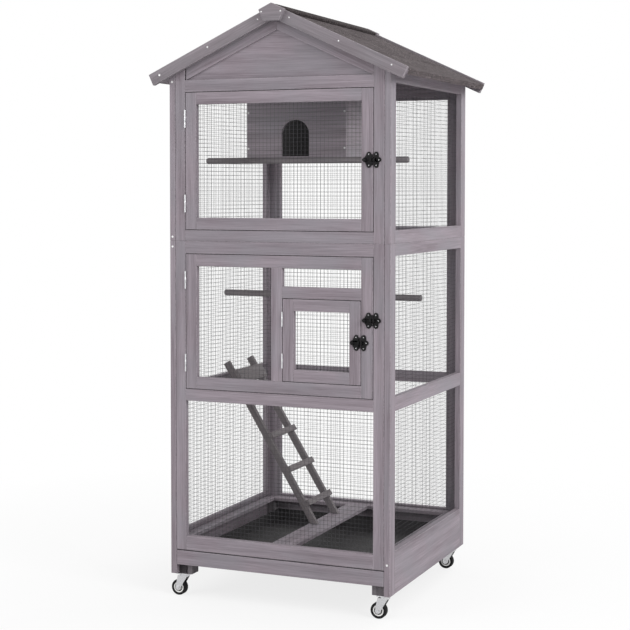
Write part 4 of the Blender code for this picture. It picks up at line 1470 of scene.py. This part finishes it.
@dataclass
class NestBox(SubAssembly):
    """Corner box with an arched doorway."""

    left: float = -0.3464
    right: float = 0.021
    front: float = 0.150
    back: float = 0.3484
    low: float = 1.393
    high: float = 1.612
    wall: float = 0.012
    panel_t: float = 0.0012            # both panels together
    panel_gap: float = SEAM / 6        # behind each of them
    panel_ease: float = 0.0002
    arch_x: float = -0.165
    arch_half: float = 0.051
    arch_top: float = 1.529
    screw: ScrewHead = ScrewHead(0.0034)
    screws_x: Span = (-0.340, 0.015)
    screws_z: Span = (1.554, 1.4317)

    def build(self) -> None:
        """Builds the front with its doorway, the side, the floor, a near-black panel of painted
        shade with its timber-coloured back, and the screws.
        """
        draw = random.Random("nest box")
        inside, sill = self.front + self.wall, self.low + self.wall
        boards = [Board((self.left, self.front, self.low), (self.right, inside, self.high), Axis.X),
                  Board((self.right - self.wall, inside, self.low),
                        (self.right, self.back, self.high), Axis.Y),
                  Board((self.left, inside, self.low), (self.right - self.wall, self.back, sill),
                        Axis.Y)]
        pieces = [board.build(draw, () if i else self.doorway(sill))
                  for i, board in enumerate(boards)]
        self.dress(joined("timber_nest_box", pieces), NEST, "stained_wood", "nest_box")
        # The first panel is painted shade that darkens the doorway; the second gives it a
        # timber-coloured back.
        for name, sunk, finish in (("panel_nest_box", self.panel_t, SHADE_PANEL),
                                   ("panel_nest_box_back", self.panel_t / 2, NEST)):
            y_low = self.back - sunk
            y_high = y_low + self.panel_t / 2 - self.panel_gap
            panel = Board((self.left, y_low, sill), (self.right - self.wall, y_high, self.high),
                          Axis.X, ease=self.panel_ease)
            self.timberwork(name, [panel], finish=finish)
        heads = [self.screw.build((x, self.front, z), Axis.Y, -1)
                 for x in self.screws_x for z in self.screws_z]
        self.metalwork("screws_nest_box", heads, SCREW_STEEL)

    def doorway(self, sill: float) -> list[Solid]:
        """Makes the solids that cut the doorway.

        Args:
            sill: Height of its foot.

        Returns:
            A drum for its round head and a block below that.
        """
        spring = self.arch_top - self.arch_half
        drum = rod((self.arch_x, self.front + self.wall / 2, spring), Axis.Y, self.arch_half,
                   3 * self.wall, FINE_SIDES)
        block = bar((self.arch_x - self.arch_half, self.front - self.wall, sill),
                    (self.arch_x + self.arch_half, self.front + 2 * self.wall, spring))
        return [drum, block]


@dataclass
class Ladder(SubAssembly):
    """Ladder that leans against the left net, with its rungs and a wide board on its rails."""

    angle: float = math.radians(58.4)
    foot_x: float = -0.018
    foot_z: float = 0.1943
    foot_spare: float = 0.05           # rails below the foot, before they are sawn
    length: float = 0.6088
    rails_y: Span = (-0.027, 0.153)
    rail_w: float = 0.022
    rail_t: float = 0.015
    rung_w: float = 0.020
    rung_t: float = 0.012
    rungs_at: Sequence[float] = (0.0705, 0.196, 0.3215, 0.447)
    board_at: float = 0.546
    board_w: float = 0.050

    def build(self) -> None:
        """Builds the rails, rungs and board."""
        placement = (Matrix.Translation((self.foot_x, 0.0, self.foot_z))
                     @ Matrix.Rotation(math.pi, 4, "Z") @ Matrix.Rotation(-self.angle, 4, "Y"))
        foot = (((0.0, 0.0, self.foot_z), DOWN),)
        half, thick = self.rail_w / 2, self.rail_t / 2
        boards = [Board((-self.foot_spare, -y - thick, -half), (self.length, -y + thick, half),
                        Axis.X, foot, placement) for y in self.rails_y]
        low, high = -self.rails_y[1] - thick, -self.rails_y[0] + thick
        steps = [(along, self.rung_w) for along in self.rungs_at]
        for along, width in (*steps, (self.board_at, self.board_w)):
            boards.append(Board((along - width / 2, low, half),
                                (along + width / 2, high, half + self.rung_t), Axis.Y, (),
                                placement))
        self.timberwork("timber_ladder", boards, "ladder", finish=LADDER_WOOD, slot="dark_wood")


class Perches(SubAssembly):
    """Round perches, which keep their CAD shapes."""

    def build(self) -> None:
        """Refinishes both perches."""
        self.refinish(ROUND_BARS, "perch_upper", "perch_lower")


@dataclass(frozen=True)
class Ring:
    """Ring round the axle, with rounded edges."""

    outer: float
    inner: float
    width: float
    edge: float
    edge_segments: int

    def build(self, centre: Vector) -> Solid:
        """Builds the ring: a drum, its ends inset, opened and bridged.

        Args:
            centre: Middle of the ring.

        Returns:
            The ring.
        """
        drum = rod(centre, Axis.Y, self.outer, self.width, FINE_SIDES)
        with editing(drum):
            for way in (-1, 1):
                inset_faces(drum, Axis.Y.unit(way), (self.outer - self.inner, 0.0))
                bpy.ops.mesh.delete(type="FACE")
            bpy.ops.mesh.select_mode(type="EDGE")
            bpy.ops.mesh.select_all(action="DESELECT")
            bpy.ops.mesh.select_non_manifold()
            bpy.ops.mesh.bridge_edge_loops()
            bpy.ops.mesh.select_all(action="SELECT")
            bpy.ops.mesh.normals_make_consistent(inside=False)
        return smooth(round_edges(drum, self.edge, self.edge_segments, sharper_than=50))


@dataclass
class Casters(SubAssembly):
    """Four swivel casters: rubber tyre, nylon wheel and hub in the chromed CAD fork."""

    stem: tuple[float, float] = (0.339, 0.330)
    trail: float = 0.019
    axle_z: float = 0.024786
    tyre: Ring = Ring(0.025, 0.017, 0.020, 0.0022, 4)
    hub: Ring = Ring(0.0056, 0.003, 0.020, 0.0005, 2)
    groove: Ring = Ring(0.0125, 0.0095, 0.0148, 0.0002, 1)    # grease, seen on both faces
    disc_inside: float = 0.002         # disc narrower than the tyre
    disc_steps: Sequence[Span] = ((0.0035, 0.0), (0.0006, -0.0035), (0.0022, 0.0),
                                  (0.0006, 0.0015))     # rim, groove, and the boss inside it
    disc_edge: float = 0.0003
    plate: float = 0.042
    plate_z: Span = (0.070, 0.0733)
    plate_edge: float = 0.0008
    screw: ScrewHead = ScrewHead(0.003)
    screw_in: float = 0.006            # screws from the plate's edges

    def build(self) -> None:
        """Models one wheel and one plate and copies them to the corners."""
        axle = Vector((0.0, 0.0, self.axle_z))
        models = (("tyre", self.tyre.build(axle), TYRE, "wheel_rubber"),
                  ("wheel_disc", self.disc(axle), NYLON, "chrome"),
                  ("hub", self.hub.build(axle), CHROME, "chrome"),
                  ("groove", self.groove.build(axle), GREASE, "wheel_rubber"))
        plate = self.fixing_plate()
        for corner, x, y in [(f"{end}_{word}", side * self.stem[0], way * self.stem[1])
                             for way, end in ENDS for side, word in SIDES]:
            for kind, model, finish, slot in models:
                nodes = (f"wheel_{corner}",) if kind == "tyre" else ()
                self.dress(duplicate(model, f"{kind}_{corner}", (x - self.trail, y, 0.0)), finish,
                           slot, *nodes, body=f"roller_{corner}")
            self.dress(duplicate(plate, f"caster_plate_{corner}", (x, y, 0.0)), CHROME, "chrome")
            self.refinish(CHROME, f"fork_{corner}")
        for model in [plate] + [model for _, model, _, _ in models]:
            bpy.data.objects.remove(model)

    def disc(self, centre: Vector) -> Solid:
        """Builds the wheel disc with its rim, groove and boss.

        Args:
            centre: Its middle.

        Returns:
            The disc.
        """
        width = self.tyre.width - self.disc_inside
        disc = rod(centre, Axis.Y, self.tyre.inner, width, FINE_SIDES)
        with editing(disc):
            for way in (-1, 1):
                inset_faces(disc, Axis.Y.unit(way), *self.disc_steps)
        return smooth(round_edges(disc, self.disc_edge, segments=1, sharper_than=50))

    def fixing_plate(self) -> Solid:
        """Builds the square plate between leg and fork, with its four screws.

        Returns:
            The plate.
        """
        half = self.plate / 2
        low, high = self.plate_z
        plate = bar((-half, -half, low), (half, half, high))
        round_edges(plate, self.plate_edge, segments=2)
        corners = (self.screw_in - half, half - self.screw_in)
        heads = [self.screw.build((x, y, low), Axis.Z, -1) for x in corners for y in corners]
        return smooth(joined("fixing plate", [plate, *heads]))


@dataclass
class Fixings(SubAssembly):
    """White-headed screws that hold the frames, barge boards and ridge plates."""

    strip_x: float = 0.3588
    strips: Sequence[Sequence[float]] = ((1.6287, 1.1446, 1.1138), (0.1729,))    # left, right
    strip_r: float = 0.0034
    barge: Sequence[tuple[float, float, float]] = (
        (-0.3893, 1.649, 0.0034), (-0.2219, 1.7301, 0.0028), (-0.052, 1.8075, 0.0022),
        (0.052, 1.8085, 0.0022), (0.2119, 1.7328, 0.0024), (0.3785, 1.6571, 0.0024))
    barge_face: float = 0.396
    plate: Sequence[tuple[float, float, float]] = ((-0.0315, 1.8275, 0.0024),
                                                   (0.0315, 1.8275, 0.0024))
    plate_face: float = 0.414

    def build(self) -> None:
        """Builds the screws of the front and repeats those of the barge boards at the back."""
        places = [(side * self.strip_x, LINES.front, z, self.strip_r, -1)
                  for (side, _), levels in zip(SIDES, self.strips) for z in levels]
        places += [(x, way * face, z, radius, way) for way, _ in ENDS
                   for face, screws in ((self.barge_face, self.barge), (self.plate_face, self.plate))
                   for x, z, radius in screws]
        heads = [ScrewHead(radius).build((x, y, z), Axis.Y, way) for x, y, z, radius, way in places]
        self.metalwork("screws_frame", heads, SCREW_STEEL)


@dataclass
class Studio:
    """Camera at the photograph's angle, pale floor and soft lights."""

    place: Point = (1.889, -4.581, 1.301)
    turn: Point = (math.radians(87.46), 0.0, math.radians(23.44))
    lens: float = 86.6
    sensor: float = 36.0
    shift: tuple[float, float] = (0.0303, -0.0967)
    ambient: float = 0.60
    lamps: Sequence[tuple[str, Point, float, float]] = (
        ("Key", (4.6, -2.3, 3.2), 2.2, 180.0), ("Fill", (-3.0, -3.9, 2.4), 2.6, 70.0),
        ("Rim", (1.5, 3.6, 3.2), 2.4, 60.0))
    aim: Point = (0.0, 0.0, 0.95)
    floor_size: float = 60.0
    floor_z: float = -0.0005
    floor_tone: float = 0.86
    glow_from: Span = (0.5, 2.2)       # distances over which the floor's glow grows
    glow_share: Span = (0.8, 1.0)

    def build(self) -> None:
        """Sets the camera, the floor, the lamps and the world."""
        scene = bpy.context.scene
        camera = bpy.data.objects.new("Camera", bpy.data.cameras.new("Camera"))
        camera.data.lens, camera.data.sensor_width = self.lens, self.sensor
        camera.data.shift_x, camera.data.shift_y = self.shift
        camera.location, camera.rotation_euler = self.place, self.turn
        scene.collection.objects.link(camera)
        scene.camera = camera
        scene.view_settings.view_transform = "Standard"
        for name, place, size, power in self.lamps:
            self.lamp(name, Vector(place), size, power)
        self.floor()
        self.world()

    def lamp(self, name: str, place: Vector, size: float, power: float) -> None:
        """Hangs a square soft lamp that looks at the middle of the cage.

        Args:
            name: Name of the lamp.
            place: Its middle.
            size: Length of its sides.
            power: Its power in watts.
        """
        light = bpy.data.lights.new(name, "AREA")
        light.energy, light.size = power, size
        lamp = bpy.data.objects.new(name, light)
        lamp.location = place
        lamp.rotation_euler = (Vector(self.aim) - place).to_track_quat("-Z", "Y").to_euler()
        bpy.context.scene.collection.objects.link(lamp)

    def seen(self, sheet: NodeSheet) -> Socket:
        """Adds the mask of the rays from the camera and from mirrors and glass.

        Args:
            sheet: The node sheet.

        Returns:
            The mask.
        """
        path = sheet.add("LightPath").outputs
        direct = sheet.math("MAXIMUM", path["Is Camera Ray"], path["Is Glossy Ray"])
        return sheet.math("MAXIMUM", direct, path["Is Transmission Ray"])

    def floor(self) -> None:
        """Lays a wide pale floor that keeps the cage's shadow."""
        deselect()
        bpy.ops.mesh.primitive_plane_add(size=self.floor_size, location=(0.0, 0.0, self.floor_z))
        floor = settle(bpy.context.object)
        floor.name = "floor"
        material = bpy.data.materials.new("Pale floor")
        material.use_nodes = True
        sheet = NodeSheet(material.node_tree)
        matt = sheet.add("BsdfDiffuse", {"Color": grey(self.floor_tone)}).outputs[0]
        glow = sheet.add("Emission", {"Color": grey(1.0), "Strength": 1.0}).outputs[0]
        away = sheet.add("VectorMath", {0: sheet.add("TexCoord").outputs["Object"]},
                         operation="LENGTH").outputs["Value"]
        share = sheet.math("MULTIPLY", self.seen(sheet),
                           sheet.spread(away, self.glow_from, self.glow_share))
        mixed = sheet.add("MixShader", {0: share, 1: matt, 2: glow})
        sheet.add("OutputMaterial", {"Surface": mixed.outputs[0]})
        floor.data.materials.append(material)

    def world(self) -> None:
        """Fills the world with soft light, seen as white."""
        world = bpy.data.worlds.new("Studio")
        bpy.context.scene.world = world
        world.use_nodes = True
        sheet = NodeSheet(world.node_tree)
        soft, white = [sheet.add("Background", {"Color": grey(1.0), "Strength": strength}).outputs[0]
                       for strength in (self.ambient, 1.0)]
        mixed = sheet.add("MixShader", {0: self.seen(sheet), 1: soft, 2: white})
        sheet.add("OutputWorld", {"Surface": mixed.outputs[0]})


def main() -> None:
    """Builds the sub-assemblies in order, then the studio."""
    logging.basicConfig(level=logging.INFO, format="%(message)s")
    parts = [SidePanels(), StoreyFrames(), Gables(), Roof(), Base(), *wall_nets(), *doors(),
             GapShadeStrips(), *door_nets(), Latches(), NestBox(), Ladder(), Perches(), Casters(),
             Fixings(), Studio()]
    for part in parts:
        part.build()


if __name__ == "__main__":
    main()
